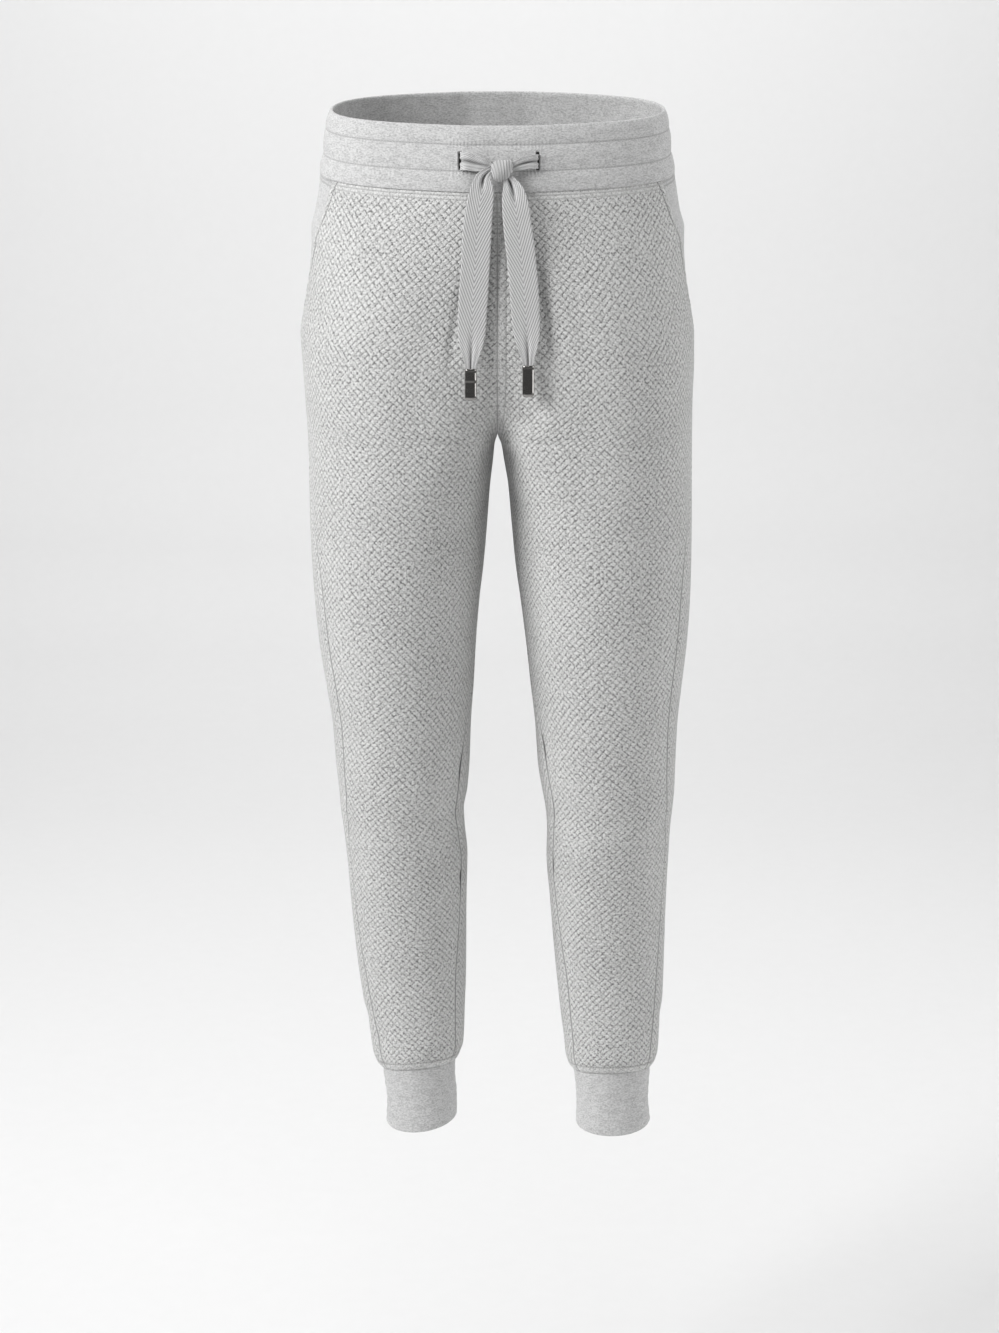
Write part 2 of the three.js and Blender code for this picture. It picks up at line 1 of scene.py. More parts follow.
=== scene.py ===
"""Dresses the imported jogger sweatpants: knitted legs, jersey band, facings and cuffs, sewing, drawstring.

Metres, +Z up, front towards -Y. Left means left as worn, which is +X. A place on a leg is a turn and a
height: the turn counts quarters round the leg from its inner side, over the front, the outer side and
the back.
"""

import bpy
import numpy as np
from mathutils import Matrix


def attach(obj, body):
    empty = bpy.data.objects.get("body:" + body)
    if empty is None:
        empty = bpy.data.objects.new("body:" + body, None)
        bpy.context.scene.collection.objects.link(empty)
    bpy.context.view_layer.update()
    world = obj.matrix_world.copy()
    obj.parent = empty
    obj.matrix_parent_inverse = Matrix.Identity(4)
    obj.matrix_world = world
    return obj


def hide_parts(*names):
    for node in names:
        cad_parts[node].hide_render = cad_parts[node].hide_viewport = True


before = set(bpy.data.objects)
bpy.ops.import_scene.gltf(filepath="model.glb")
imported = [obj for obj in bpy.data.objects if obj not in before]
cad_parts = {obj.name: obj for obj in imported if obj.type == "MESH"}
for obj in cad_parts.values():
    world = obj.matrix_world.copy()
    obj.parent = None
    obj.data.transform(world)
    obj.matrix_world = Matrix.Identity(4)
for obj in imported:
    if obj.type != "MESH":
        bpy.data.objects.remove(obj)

bl_info = {
    "name": "Jogger Sweatpants",
    "version": (1, 0, 0),
    "blender": (4, 5, 0),
    "location": "3D View > Sidebar > Joggers",
    "description": "Builds the finished surfaces of a pair of knitted jogger sweatpants",
    "category": "Add Mesh",
}

SIDES = {"left": 1, "right": -1}

# Heights of the sewing lines, before a line dips or rises on its way round
BAND_TOP = -0.002
WAIST_SEAM = -0.060
POCKET_END = -0.228
CROTCH = -0.308
HEM_SEAM = -0.972
CUFF_BOTTOM = -1.028
SEAM_GAP = 0.0003

# Walls of cloth
KNIT_WALL = 0.0020
JERSEY_WALL = 0.0014
CUFF_WALL = 0.0024
BAND_WALL = 0.0032

# The waist is lower at the front than at the back, by a slope that fades between these heights
WAIST_DIP = 0.018
WAIST_REACH = 0.118
DIP_FADES = (-0.070, -0.250)
# The hem is drawn up at the front, and each leg's hem leans and is lifted a little differently
HEM_RISE = 0.014
RISE_FADES = (-0.820, -0.950)
RISE_ENDS = (HEM_SEAM, CUFF_BOTTOM)
ROLL = {"left": -0.0015, "right": 0.004}
LIFT = {"left": 0.0, "right": 0.0045}

# Level sections: a leg's outer and inner side, its furthest places in Y, and the turns of its two seams
SECTION_COLUMNS = "out_left in_left out_right in_right front back side inseam"
SECTION_ROWS = [
    (0, 0.158, 0, 0.157, 0, -0.108, 0.109, 2.12, 0),
    (-0.02, 0.1625, 0, 0.1625, 0, -0.111, 0.113, 2.12, 0),
    (-0.04, 0.1645, 0, 0.1645, 0, -0.113, 0.117, 2.12, 0),
    (-0.06, 0.1685, 0, 0.1685, 0, -0.1155, 0.121, 2.12, 0),
    (-0.082, 0.1722, 0, 0.1715, 0, -0.118, 0.127, 2.12, 0),
    (-0.098, 0.1752, 0, 0.175, 0, -0.1195, 0.131, 2.11, 0),
    (-0.115, 0.1798, 0, 0.1788, 0, -0.1205, 0.134, 2.11, 0),
    (-0.13, 0.18, 0, 0.1793, 0, -0.1215, 0.137, 2.1, 0),
    (-0.16, 0.1825, 0, 0.1826, 0, -0.122, 0.141, 2.08, 0),
    (-0.19, 0.1865, 0, 0.1865, 0, -0.122, 0.142, 2.05, 0),
    (-0.213, 0.1893, 0, 0.1895, 0, -0.122, 0.1405, 2.03, 0),
    (-0.24, 0.19, 0, 0.1882, 0, -0.1215, 0.136, 2.01, 0),
    (-0.278, 0.1888, 0, 0.1856, 0, -0.12, 0.126, 1.97, 0),
    (-0.308, 0.1887, 0, 0.1838, 0, -0.1185, 0.118, 1.94, 0),
    (-0.318, 0.1887, 0.0035, 0.1834, 0.0026, -0.118, 0.1155, 1.92, 0),
    (-0.336, 0.1888, 0.0066, 0.183, 0.0044, -0.117, 0.112, 1.9, 0),
    (-0.356, 0.189, 0.01, 0.183, 0.0068, -0.116, 0.109, 1.86, 0),
    (-0.395, 0.1897, 0.0136, 0.1828, 0.0098, -0.113, 0.104, 1.77, 0.01),
    (-0.435, 0.1899, 0.0174, 0.1815, 0.0133, -0.1095, 0.1, 1.69, 0.02),
    (-0.475, 0.1892, 0.023, 0.1792, 0.018, -0.106, 0.096, 1.65, 0.03),
    (-0.516, 0.1869, 0.0283, 0.1756, 0.0213, -0.102, 0.092, 1.63, 0.06),
    (-0.556, 0.1828, 0.0326, 0.1697, 0.0235, -0.098, 0.088, 1.62, 0.12),
    (-0.597, 0.179, 0.0374, 0.1639, 0.0264, -0.093, 0.0825, 1.63, 0.22),
    (-0.639, 0.1776, 0.0404, 0.161, 0.028, -0.0875, 0.076, 1.65, 0.31),
    (-0.665, 0.177, 0.0445, 0.1585, 0.0302, -0.0835, 0.0715, 1.67, 0.33),
    (-0.686, 0.1754, 0.0483, 0.157, 0.0338, -0.0795, 0.069, 1.71, 0.3),
    (-0.705, 0.1738, 0.0498, 0.1548, 0.033, -0.076, 0.0695, 1.74, 0.26),
    (-0.735, 0.1728, 0.0496, 0.1522, 0.0304, -0.0705, 0.073, 1.75, 0.25),
    (-0.786, 0.1714, 0.0535, 0.149, 0.0316, -0.062, 0.077, 1.72, 0.27),
    (-0.829, 0.1709, 0.057, 0.1457, 0.032, -0.056, 0.0775, 1.68, 0.33),
    (-0.872, 0.1704, 0.061, 0.1413, 0.0324, -0.051, 0.0755, 1.63, 0.38),
    (-0.915, 0.169, 0.0656, 0.1353, 0.0338, -0.0475, 0.072, 1.61, 0.37),
    (-0.942, 0.1668, 0.069, 0.1308, 0.0346, -0.046, 0.069, 1.6, 0.36),
    (-0.955, 0.1658, 0.0702, 0.1288, 0.0356, -0.0455, 0.0675, 1.6, 0.35),
    (-0.963, 0.1638, 0.0722, 0.126, 0.0384, -0.044, 0.0645, 1.6, 0.35),
    (-0.968, 0.161, 0.075, 0.1228, 0.041, -0.0415, 0.0605, 1.6, 0.35),
    (-0.972, 0.1586, 0.0776, 0.1194, 0.0432, -0.0388, 0.056, 1.6, 0.35),
    (-0.988, 0.1568, 0.0808, 0.1166, 0.044, -0.0364, 0.0524, 1.6, 0.35),
    (-1.006, 0.1566, 0.0822, 0.1148, 0.0426, -0.0356, 0.0514, 1.6, 0.35),
    (-1.028, 0.1585, 0.0812, 0.1155, 0.042, -0.0366, 0.0524, 1.6, 0.35),
]
# Pocket mouth: height and turn
MOUTH_ROWS = [
    (-0.060, 1.63), (-0.098, 1.725), (-0.136, 1.82), (-0.165, 1.87), (-0.200, 1.945), (-0.228, 2.02),
]

# Where each rise seam leaves the front or the back, and how it rounds under to the crotch
RISE = {
    "front": {"start": -0.190, "bulge": 2.5, "turn": 3.0},
    "back": {"start": -0.150, "bulge": 2.1, "turn": 2.5},
}
# Between these heights the cloth goes round under the crotch, so its normals leave the level
UNDER_STARTS = (-0.200, -0.270)
UNDER_ENDS = (-0.330, -0.400)
# Handles of a section's arcs, and what the span from leg to leg adds to them at the inner side
ARC_HANDLE = 0.56
SPAN = 0.38
SPAN_SHARE = 0.7
SPAN_FADES = (CROTCH, -0.410)
# Length of a quarter turn, of the leg's width
QUARTER_SHARE = 0.6
# The arcs meet at a crown, a share of the width out from the inner side
CROWN_AT_WAIST = 0.36
CROWN_ON_LEG = 0.5
CROWN_DROP = 0.0075
CROWN_SLOPE = 0.26

# Pocket facing: from the inside of the front, and how far past the mouth it stays that deep
FACING_CLEARANCE = 0.0014
FACING_EDGE = 0.006
FACING_GRID = (90, 44)
PANEL_COLUMNS_IN_SOLID = 11

# Folds on a leg: turn and height of both ends, half width, height above the cloth
FOLDS = [
    (0.12, -0.296, 0.8, -0.248, 0.013, -0.0018),
    (0.1, -0.322, 0.75, -0.346, 0.012, -0.0016),
    (0.5, -0.64, 1.35, -0.656, 0.015, 0.0012),
    (0.25, -0.674, 1.1, -0.692, 0.011, -0.0016),
    (1.3, -0.706, 1.9, -0.688, 0.012, -0.0015),
    (0.7, -0.852, 1.5, -0.868, 0.016, -0.0009),
    (2.5, -0.668, 3.8, -0.686, 0.012, -0.0036),
    (2.4, -0.69, 3.6, -0.704, 0.011, 0.0024),
    (2.7, -0.712, 3.7, -0.73, 0.012, -0.003),
    (2.9, -0.246, 3.8, -0.286, 0.016, -0.0024),
    (2.6, -0.3, 3.8, -0.33, 0.015, -0.002),
    (2.3, -0.884, 3.2, -0.868, 0.012, -0.0018),
    (1.85, -0.898, 2.15, -0.946, 0.009, -0.002),
    (2.6, -0.904, 2.9, -0.952, 0.01, -0.0026),
    (3.3, -0.896, 3.6, -0.95, 0.01, -0.0022),
    (2.1, -0.926, 3.4, -0.93, 0.009, 0.0016),
]
FOLD_TAPER = 0.35
# Smaller creases, each leg with its own
CREASES = {
    "left": [
        (0.5, -0.095, 0.62, -0.275, 0.011, -0.0022),
        (0.78, -0.11, 0.86, -0.25, 0.014, 0.0012),
        (0.05, -0.345, 0.42, -0.39, 0.008, -0.0012),
        (0.1, -0.60, 0.5, -0.63, 0.009, -0.0010),
        (0.15, -0.735, 0.7, -0.752, 0.008, -0.0012),
        (1.2, -0.93, 1.6, -0.90, 0.008, -0.0010),
        (0.45, -0.925, 0.7, -0.95, 0.006, -0.0012),
        (3.0, -0.60, 3.7, -0.58, 0.011, -0.0014),
        (2.3, -0.80, 3.0, -0.785, 0.011, 0.0012),
    ],
    "right": [
        (0.38, -0.12, 0.5, -0.26, 0.010, -0.0016),
        (0.05, -0.35, 0.5, -0.405, 0.009, -0.0012),
        (0.12, -0.615, 0.45, -0.65, 0.009, -0.0010),
        (0.1, -0.745, 0.6, -0.77, 0.008, -0.0014),
        (1.3, -0.915, 1.62, -0.945, 0.008, -0.0010),
        (0.72, -0.948, 0.86, -0.964, 0.004, -0.0016),
        (2.9, -0.62, 3.6, -0.60, 0.010, -0.0014),
        (2.4, -0.815, 3.1, -0.80, 0.012, 0.0012),
    ],
}

# Waistband: stitched rows below its top edge, and the puff of each channel
BAND_STITCH_ROWS = (0.0165, 0.0395)
BAND_HEIGHT = 0.058
CHANNEL_PUFF = 0.0015
PUFF_ROUND = 0.6
BAND_INSET = 0.0008
# Buttonholes: distance out, half height, half width and depth of the slit, and the worked rim round it
BUTTONHOLES = {"left": 0.0365, "right": 0.0334}
BUTTONHOLE_HEIGHT = -0.0496
BUTTONHOLE_REACH = 0.0086
BUTTONHOLE_HALF = 0.0018
BUTTONHOLE_DEPTH = 0.0022
SLIT_TAPER = 0.0012
BUTTONHOLE_RIM = 0.0021
RIM_INSIDE = 0.0004
RIM_SHORTER = 0.001
RIM_REACH = 0.0009
RIM_HEIGHT = 0.0005
# Puckers beside the stitched rows: height, reach, and how many radians of them to a turn
PUCKER = 0.00018
PUCKER_REACH = 0.004
PUCKERS = 95

# Drawstring: middle of each cross-section, its width, how deep its middle is creased, its thickness
STRINGS = {
    "right": [
        (-0.0322, -0.1099, -0.0496, 0.0160, 0.0010, 0.0024),
        (-0.0314, -0.1134, -0.0496, 0.0164, 0.0022, 0.0024),
        (-0.0288, -0.1158, -0.0496, 0.0164, 0.0036, 0.0024),
        (-0.0200, -0.1174, -0.0514, 0.0146, 0.0036, 0.0023),
        (-0.0120, -0.1190, -0.0534, 0.0116, 0.0028, 0.0022),
        (-0.0063, -0.1195, -0.0550, 0.0080, 0.0008, 0.0022),
        (-0.0040, -0.1215, -0.0562, 0.0070, 0.0004, 0.0022),
        (-0.0080, -0.1236, -0.0590, 0.0090, 0.0010, 0.0020),
        (-0.0122, -0.1246, -0.0640, 0.0140, 0.0038, 0.0016),
        (-0.0136, -0.1258, -0.0740, 0.0204, 0.0007, 0.0013),
        (-0.0172, -0.1282, -0.1000, 0.0254, 0.0002, 0.0013),
        (-0.0200, -0.1284, -0.1440, 0.0262, 0.0001, 0.0013),
        (-0.0226, -0.1284, -0.1860, 0.0262, 0.0001, 0.0013),
        (-0.0234, -0.1284, -0.2050, 0.0246, 0.0006, 0.0013),
        (-0.0238, -0.1284, -0.2170, 0.0200, 0.0016, 0.0013),
        (-0.0242, -0.1284, -0.2280, 0.0125, 0.0020, 0.0015),
        (-0.0243, -0.1284, -0.2380, 0.0078, 0.0012, 0.0018),
    ],
    "left": [
        (0.0358, -0.1092, -0.0500, 0.0126, 0.0008, 0.0024),
        (0.0350, -0.1130, -0.0500, 0.0128, 0.0018, 0.0024),
        (0.0326, -0.1156, -0.0500, 0.0128, 0.0032, 0.0024),
        (0.0250, -0.1174, -0.0512, 0.0118, 0.0032, 0.0023),
        (0.0190, -0.1192, -0.0530, 0.0100, 0.0024, 0.0022),
        (0.0146, -0.1201, -0.0548, 0.0080, 0.0008, 0.0022),
        (0.0100, -0.1215, -0.0580, 0.0070, 0.0004, 0.0022),
        (0.0092, -0.1222, -0.0625, 0.0080, 0.0010, 0.0020),
        (0.0118, -0.1228, -0.0690, 0.0130, 0.0044, 0.0017),
        (0.0138, -0.1250, -0.0745, 0.0184, 0.0036, 0.0014),
        (0.0158, -0.1270, -0.0850, 0.0232, 0.0008, 0.0013),
        (0.0184, -0.1284, -0.1080, 0.0256, 0.0002, 0.0013),
        (0.0226, -0.1286, -0.1440, 0.0262, 0.0001, 0.0013),
        (0.0256, -0.1286, -0.1840, 0.0258, 0.0001, 0.0013),
        (0.0268, -0.1284, -0.2030, 0.0240, 0.0006, 0.0013),
        (0.0275, -0.1284, -0.2140, 0.0195, 0.0016, 0.0013),
        (0.0280, -0.1284, -0.2250, 0.0125, 0.0020, 0.0015),
        (0.0283, -0.1284, -0.2350, 0.0078, 0.0012, 0.0018),
    ],
}
STRING_WIDTH = 0.026
KNOT_MIDDLE = (0.0038, -0.1222, -0.0580)
KNOT_HALF = (0.0106, 0.0066, 0.0100)
TIP_TOPS = {"left": (0.0283, -0.1284, -0.2319), "right": (-0.0243, -0.1284, -0.2349)}
TIP_WIDTH = 0.0112
TIP_THICK = 0.0062
TIP_LENGTH = 0.0288


class JoggerClothSettings(bpy.types.PropertyGroup):
    """Colours and sizes of the two cloths."""

    knit_light: bpy.props.FloatVectorProperty(
        name="Knit Light", description="Raised cells of the knit", subtype="COLOR",
        size=3, min=0.0, max=1.0, default=(0.740, 0.740, 0.733))
    # Knit Dark is the colour of the painted shade in the grooves, seams and stitch dents, and of the dark
    # fibres
    knit_dark: bpy.props.FloatVectorProperty(
        name="Knit Dark", description="Grooves and dark fibres of the knit", subtype="COLOR",
        size=3, min=0.0, max=1.0, default=(0.170, 0.170, 0.168))
    jersey_light: bpy.props.FloatVectorProperty(
        name="Jersey Light", description="Light fibres of the jersey", subtype="COLOR",
        size=3, min=0.0, max=1.0, default=(0.660, 0.660, 0.658))
    # Jersey Dark is also the colour of the painted shade along the stitched rows
    jersey_dark: bpy.props.FloatVectorProperty(
        name="Jersey Dark", description="Dark fibres of the jersey", subtype="COLOR",
        size=3, min=0.0, max=1.0, default=(0.300, 0.300, 0.302))
    lattice: bpy.props.FloatProperty(
        name="Lattice", description="Distance across from one raised cell to the next",
        default=0.0069, min=0.002, max=0.02, unit="LENGTH")
    relief: bpy.props.FloatProperty(
        name="Relief", description="Height of the raised cells above their grooves",
        default=0.0010, min=0.0, max=0.003, unit="LENGTH")


class JoggerSewingSettings(bpy.types.PropertyGroup):
    """Thread, and where the topstitching runs."""

    thread: bpy.props.FloatVectorProperty(
        name="Thread", description="Colour of the sewing thread", subtype="COLOR",
        size=3, min=0.0, max=1.0, default=(0.620, 0.620, 0.615))
    pitch: bpy.props.FloatProperty(
        name="Stitch Pitch", description="Distance from one stitch to the next",
        default=0.0030, min=0.001, max=0.01, unit="LENGTH")
    radius: bpy.props.FloatProperty(
        name="Thread Radius", description="Half the thickness of the thread",
        default=0.00040, min=0.0001, max=0.001, unit="LENGTH")
    mouth_margin: bpy.props.FloatProperty(
        name="Mouth Margin", description="Topstitch to the edge of the pocket mouth",
        default=0.0080, min=0.002, max=0.02, unit="LENGTH")
    hem_margin: bpy.props.FloatProperty(
        name="Hem Margin", description="Topstitch to the hem seam",
        default=0.0080, min=0.002, max=0.02, unit="LENGTH")


class JoggerStringSettings(bpy.types.PropertyGroup):
    """Drawstring tape and its metal tips."""

    tape_light: bpy.props.FloatVectorProperty(
        name="Tape Light", description="Raised twill lines of the tape", subtype="COLOR",
        size=3, min=0.0, max=1.0, default=(0.680, 0.680, 0.680))
    # Tape Dark is also the colour towards which the painted crease shade darkens the tape
    tape_dark: bpy.props.FloatVectorProperty(
        name="Tape Dark", description="Between the twill lines of the tape", subtype="COLOR",
        size=3, min=0.0, max=1.0, default=(0.190, 0.190, 0.190))
    twill: bpy.props.FloatProperty(
        name="Twill", description="Distance along the tape from one light twill line to the next",
        default=0.0056, min=0.001, max=0.01, unit="LENGTH")
    metal: bpy.props.FloatVectorProperty(
        name="Tip Metal", description="Colour of the polished tips", subtype="COLOR",
        size=3, min=0.0, max=1.0, default=(0.330, 0.320, 0.310))


class JoggerStageSettings(bpy.types.PropertyGroup):
    """Camera, lights and floor."""

    lens: bpy.props.FloatProperty(
        name="Lens", description="Focal length on a 36 mm tall picture", default=64.09, min=20.0, max=200.0)
    distance: bpy.props.FloatProperty(
        name="Camera Distance", description="Camera in front of the waist",
        default=2.30, min=0.5, max=10.0, unit="LENGTH")
    pitch: bpy.props.FloatProperty(
        name="Camera Pitch", description="Angle of the camera from straight down",
        default=1.3474, min=0.0, max=3.1416, subtype="ANGLE")
    floor: bpy.props.FloatProperty(
        name="Floor", description="Height of the floor", default=-1.45, max=-1.03, unit="LENGTH")
    key_power: bpy.props.FloatProperty(
        name="Key Light", description="Power of the large light", default=96.0, min=0.0, unit="POWER")
    fill_power: bpy.props.FloatProperty(
        name="Fill Light", description="Power of the light opposite", default=38.0, min=0.0, unit="POWER")
    top_power: bpy.props.FloatProperty(
        name="Top Light", description="Power of the light above", default=13.0, min=0.0, unit="POWER")
    paper_power: bpy.props.FloatProperty(
        name="Paper Light", description="Power of the light on the paper behind", default=82.0, min=0.0,
        unit="POWER")
    world: bpy.props.FloatProperty(
        name="Room Light", description="Strength of the even light all round", default=0.13, min=0.0)


def smooth(value):
    """0 below 0, 1 above 1, and an S-curve between them."""
    value = np.clip(value, 0.0, 1.0)
    return value ** 2 * (3 - 2 * value)


def ramp(ends, value):
    """S-curve from 0 at the first end to 1 at the second."""
    return smooth((value - ends[0]) / (ends[1] - ends[0]))


def cubic(t, step, start, start_slope, end, end_slope):
    """Cubic over one step, through both of its ends at their slopes."""
    first = (1 + 2 * t) * start + t * step * start_slope
    second = (3 - 2 * t) * end + (t - 1) * step * end_slope
    return (1 - t) ** 2 * first + t ** 2 * second


class Table:
    """Columns over height, on cubics whose slope at a row is the harmonic mean of those beside it."""

    def __init__(self, columns, rows):
        data = np.array(rows, float)
        self.columns = columns.split()
        self.heights = data[:, 0]
        self.values = data[:, 1:]
        slope = np.diff(self.values, axis=0) / np.diff(self.heights)[:, None]
        product, total = slope[:-1] * slope[1:], slope[:-1] + slope[1:]
        inner = np.where(product > 0, 2 * product / np.where(total == 0, 1, total), 0)
        self.slopes = np.vstack([slope[:1], inner, slope[-1:]])

    def at(self, column, z):
        z = np.asarray(z, float)
        index = self.columns.index(column)
        row = np.clip(np.searchsorted(-self.heights, -z, side="left"), 1, len(self.heights) - 1)
        step = self.heights[row] - self.heights[row - 1]
        t = np.clip((z - self.heights[row - 1]) / step, 0, 1)
        values, slopes = self.values[:, index], self.slopes[:, index]
        return cubic(t, step, values[row - 1], slopes[row - 1], values[row], slopes[row])


SECTIONS = Table(SECTION_COLUMNS, SECTION_ROWS)
MOUTHS = Table("turn", MOUTH_ROWS)


def side_seam(z):
    """Turn of the side seam, from the table of sections."""
    return SECTIONS.at("side", z)


def inseam(z):
    """Turn of the inseam, from the table of sections, and 0 above the crotch."""
    return np.where(z > CROTCH, 0.0, SECTIONS.at("inseam", z))


def inseam_again(z):
    """The inseam as a panel reaches it from the back, after a whole turn."""
    return inseam(z) + 4


def mouth(z):
    """Turn of the pocket mouth, from its own table."""
    return MOUTHS.at("turn", z)


def front_edge(z):
    """Turn of the front's outer edge: the mouth down to the pocket's end, and then the side seam."""
    return np.where(z > POCKET_END, mouth(z), side_seam(z))


def rise_seam(which, z):
    """Place in Y and angle of a rise seam, and how much of the span between the legs has come there.

    The seam is a superellipse from the cloth's front or back to the crotch. The span grows evenly over
    the last share of the seam's way.
    """
    shape = RISE[which]
    t = np.clip((shape["start"] - z) / (shape["start"] - CROTCH), 0, 1)
    left = (1 - t ** shape["bulge"]) ** (1 / shape["bulge"])
    under = (SECTIONS.at("front", CROTCH) + SECTIONS.at("back", CROTCH)) / 2
    y = under + (SECTIONS.at(which, z) - under) * left
    return y, (np.pi / 2) * t ** shape["turn"], np.clip(1 - left / SPAN_SHARE, 0, 1)


def plain_skin(side, turn, z):
    """Unfolded skin of a leg.

    A level section is four cubic arcs through five corners: inner side, front crown, outer side, back
    crown, inner side. Each arc leaves its corner at the corner's angle, and its handles are a share of the
    way between the corners, larger at the inner side beside the crotch, where the cloth spans the legs.
    The whole section is then tilted at the waist and at the hem.
    """
    turn, z = np.broadcast_arrays(np.asarray(turn, float), np.asarray(z, float))
    open_top = z > CROTCH
    wrapped = np.where(open_top, np.clip(turn, 0, 4), (turn + 4) % 4)
    quarter = np.minimum(3, np.floor(wrapped)).astype(int)
    t = wrapped - quarter
    outer = SECTIONS.at(f"out_{side}", z)
    inner = np.where(open_top, 0, SECTIONS.at(f"in_{side}", z))
    front, back = SECTIONS.at("front", z), SECTIONS.at("back", z)
    middle = (front + back) / 2
    low = ramp((WAIST_SEAM, CROTCH), z)
    crown = inner + (outer - inner) * (CROWN_AT_WAIST + (CROWN_ON_LEG - CROWN_AT_WAIST) * low)
    rise_y, rise_angle, rise_span = rise_seam("front", z)
    seat_y, seat_angle, seat_span = rise_seam("back", z)
    upright = np.full_like(z, np.pi / 2)
    ahead = 1 - ramp((WAIST_SEAM, RISE["front"]["start"]), z)
    behind = 1 - ramp((WAIST_SEAM, RISE["back"]["start"]), z)
    xs = np.stack([inner, crown, outer, crown, inner])
    ys = np.stack([
        np.where(open_top, rise_y, middle), front + CROWN_DROP * ahead, middle,
        back - CROWN_DROP * behind, np.where(open_top, seat_y, middle),
    ])
    angles = np.stack([
        np.where(open_top, rise_angle, upright), CROWN_SLOPE * ahead, upright,
        CROWN_SLOPE * behind, np.where(open_top, seat_angle, upright),
    ])
    plain = np.full_like(z, ARC_HANDLE)
    leg_span = 1 - ramp(SPAN_FADES, z)
    reaches = np.stack([
        plain + SPAN * np.where(open_top, rise_span, leg_span), plain, plain, plain,
        plain + SPAN * np.where(open_top, seat_span, leg_span),
    ])

    def corner(values, step):
        return np.take_along_axis(values, quarter[None] + step, axis=0)[0]

    x0, x1, y0, y1 = corner(xs, 0), corner(xs, 1), corner(ys, 0), corner(ys, 1)
    dx, dy = x1 - x0, y1 - y0

    def handle(angle, share):
        way_x, way_y = np.sign(dx) * np.cos(angle), np.sign(dy) * np.sin(angle)
        reach = share * (way_x * dx + way_y * dy)
        return way_x * reach, way_y * reach

    ax, ay = handle(corner(angles, 0), corner(reaches, 0))
    bx, by = handle(corner(angles, 1), corner(reaches, 1))
    shares = ((1 - t) ** 3, 3 * t * (1 - t) ** 2, 3 * t ** 2 * (1 - t), t ** 3)
    x = shares[0] * x0 + shares[1] * (x0 + ax) + shares[2] * (x1 - bx) + shares[3] * x1
    y = shares[0] * y0 + shares[1] * (y0 + ay) + shares[2] * (y1 - by) + shares[3] * y1
    outside = (x - (inner + outer) / 2) / ((outer - inner) / 2)
    forward = (middle - y) / (middle - front)
    waist = WAIST_DIP * y / WAIST_REACH * (1 - ramp(DIP_FADES, z))
    bottom = ramp(RISE_FADES, z)
    hem = HEM_RISE * (0.5 + 0.5 * forward) ** 2 * bottom * (1 - ramp(RISE_ENDS, z))
    height = z + waist + hem + bottom * (LIFT[side] - ROLL[side] * outside)
    return np.stack([SIDES[side] * x, y, height], axis=-1)


def unit(vectors):
    """Vectors divided by their lengths."""
    return vectors / np.maximum(np.linalg.norm(vectors, axis=-1, keepdims=True), 1e-12)


def outwards(side, turn, z):
    """Normal of the skin from its slopes across and down, kept level except under the crotch."""
    step, drop = 0.01, 0.0005
    turn, z = np.broadcast_arrays(np.asarray(turn, float), np.asarray(z, float))
    low = np.where(z > CROTCH, np.maximum(0, turn - step), turn - step)
    high = np.where(z > CROTCH, np.minimum(4, turn + step), turn + step)
    across = plain_skin(side, high, z) - plain_skin(side, low, z)
    down = plain_skin(side, turn, z - drop) - plain_skin(side, turn, z + drop)
    normal = unit(np.cross(down, across) * SIDES[side])
    normal[..., 2] *= ramp(UNDER_STARTS, z) * (1 - ramp(UNDER_ENDS, z))
    return unit(normal)


def fold_height(side, turn, z):
    """Sum of the folds: each is its height times a bell across its line and an S-curve at both ends."""
    height = np.zeros(np.broadcast(turn, z).shape)
    for turn0, z0, turn1, z1, half_width, rise in FOLDS + CREASES[side]:
        middle = (z0 + z1) / 2
        reach = QUARTER_SHARE * float(SECTIONS.at("out_left", middle) - SECTIONS.at("in_left", middle))
        along_x, along_z = (turn1 - turn0) * reach, z1 - z0
        dx, dz = (turn - turn0) * reach, z - z0
        length = np.hypot(along_x, along_z)
        along = (dx * along_x + dz * along_z) / length ** 2
        across = (dx * along_z - dz * along_x) / length
        ends = smooth(along / FOLD_TAPER) * smooth((1 - along) / FOLD_TAPER)
        height += rise * ends * np.exp(-((across / half_width) ** 2))
    return height


def skin(side, turn, z, depth=0.0):
    """Folded skin of a leg, moved in by a depth along its own normal."""
    lift = fold_height(side, turn, z) - depth
    return plain_skin(side, turn, z) + outwards(side, turn, z) * lift[..., None]


def shift_turn(side, turn, z, distance):
    """A turn moved round the leg by a distance, by the length of a small step there."""
    step = 0.01
    stride = np.linalg.norm(plain_skin(side, turn + step, z) - plain_skin(side, turn - step, z), axis=-1)
    return turn + 2 * step * distance / stride


def distances(points, axis):
    """Running length along one axis of a grid of points, from its first row or column."""
    steps = np.linalg.norm(np.diff(points, axis=axis), axis=-1)
    start = np.zeros_like(np.take(steps, [0], axis=axis))
    return np.concatenate([start, np.cumsum(steps, axis=axis)], axis=axis)


def bell(distance, width):
    """Bell curve: e to the power of minus the square of the distance in widths."""
    return np.exp(-((distance / width) ** 2))


def grid_corners(rows, columns, wrap_rows=False, wrap_columns=False):
    """Corner places of every quad of a grid, as row and column arrays that may run one past the end."""
    i = np.arange(rows if wrap_rows else rows - 1)[:, None]
    j = np.arange(columns if wrap_columns else columns - 1)[None, :]
    i, j = np.broadcast_arrays(i, j)
    return (np.stack([i, i + 1, i + 1, i], axis=-1).reshape(-1, 4),
            np.stack([j, j, j + 1, j + 1], axis=-1).reshape(-1, 4))


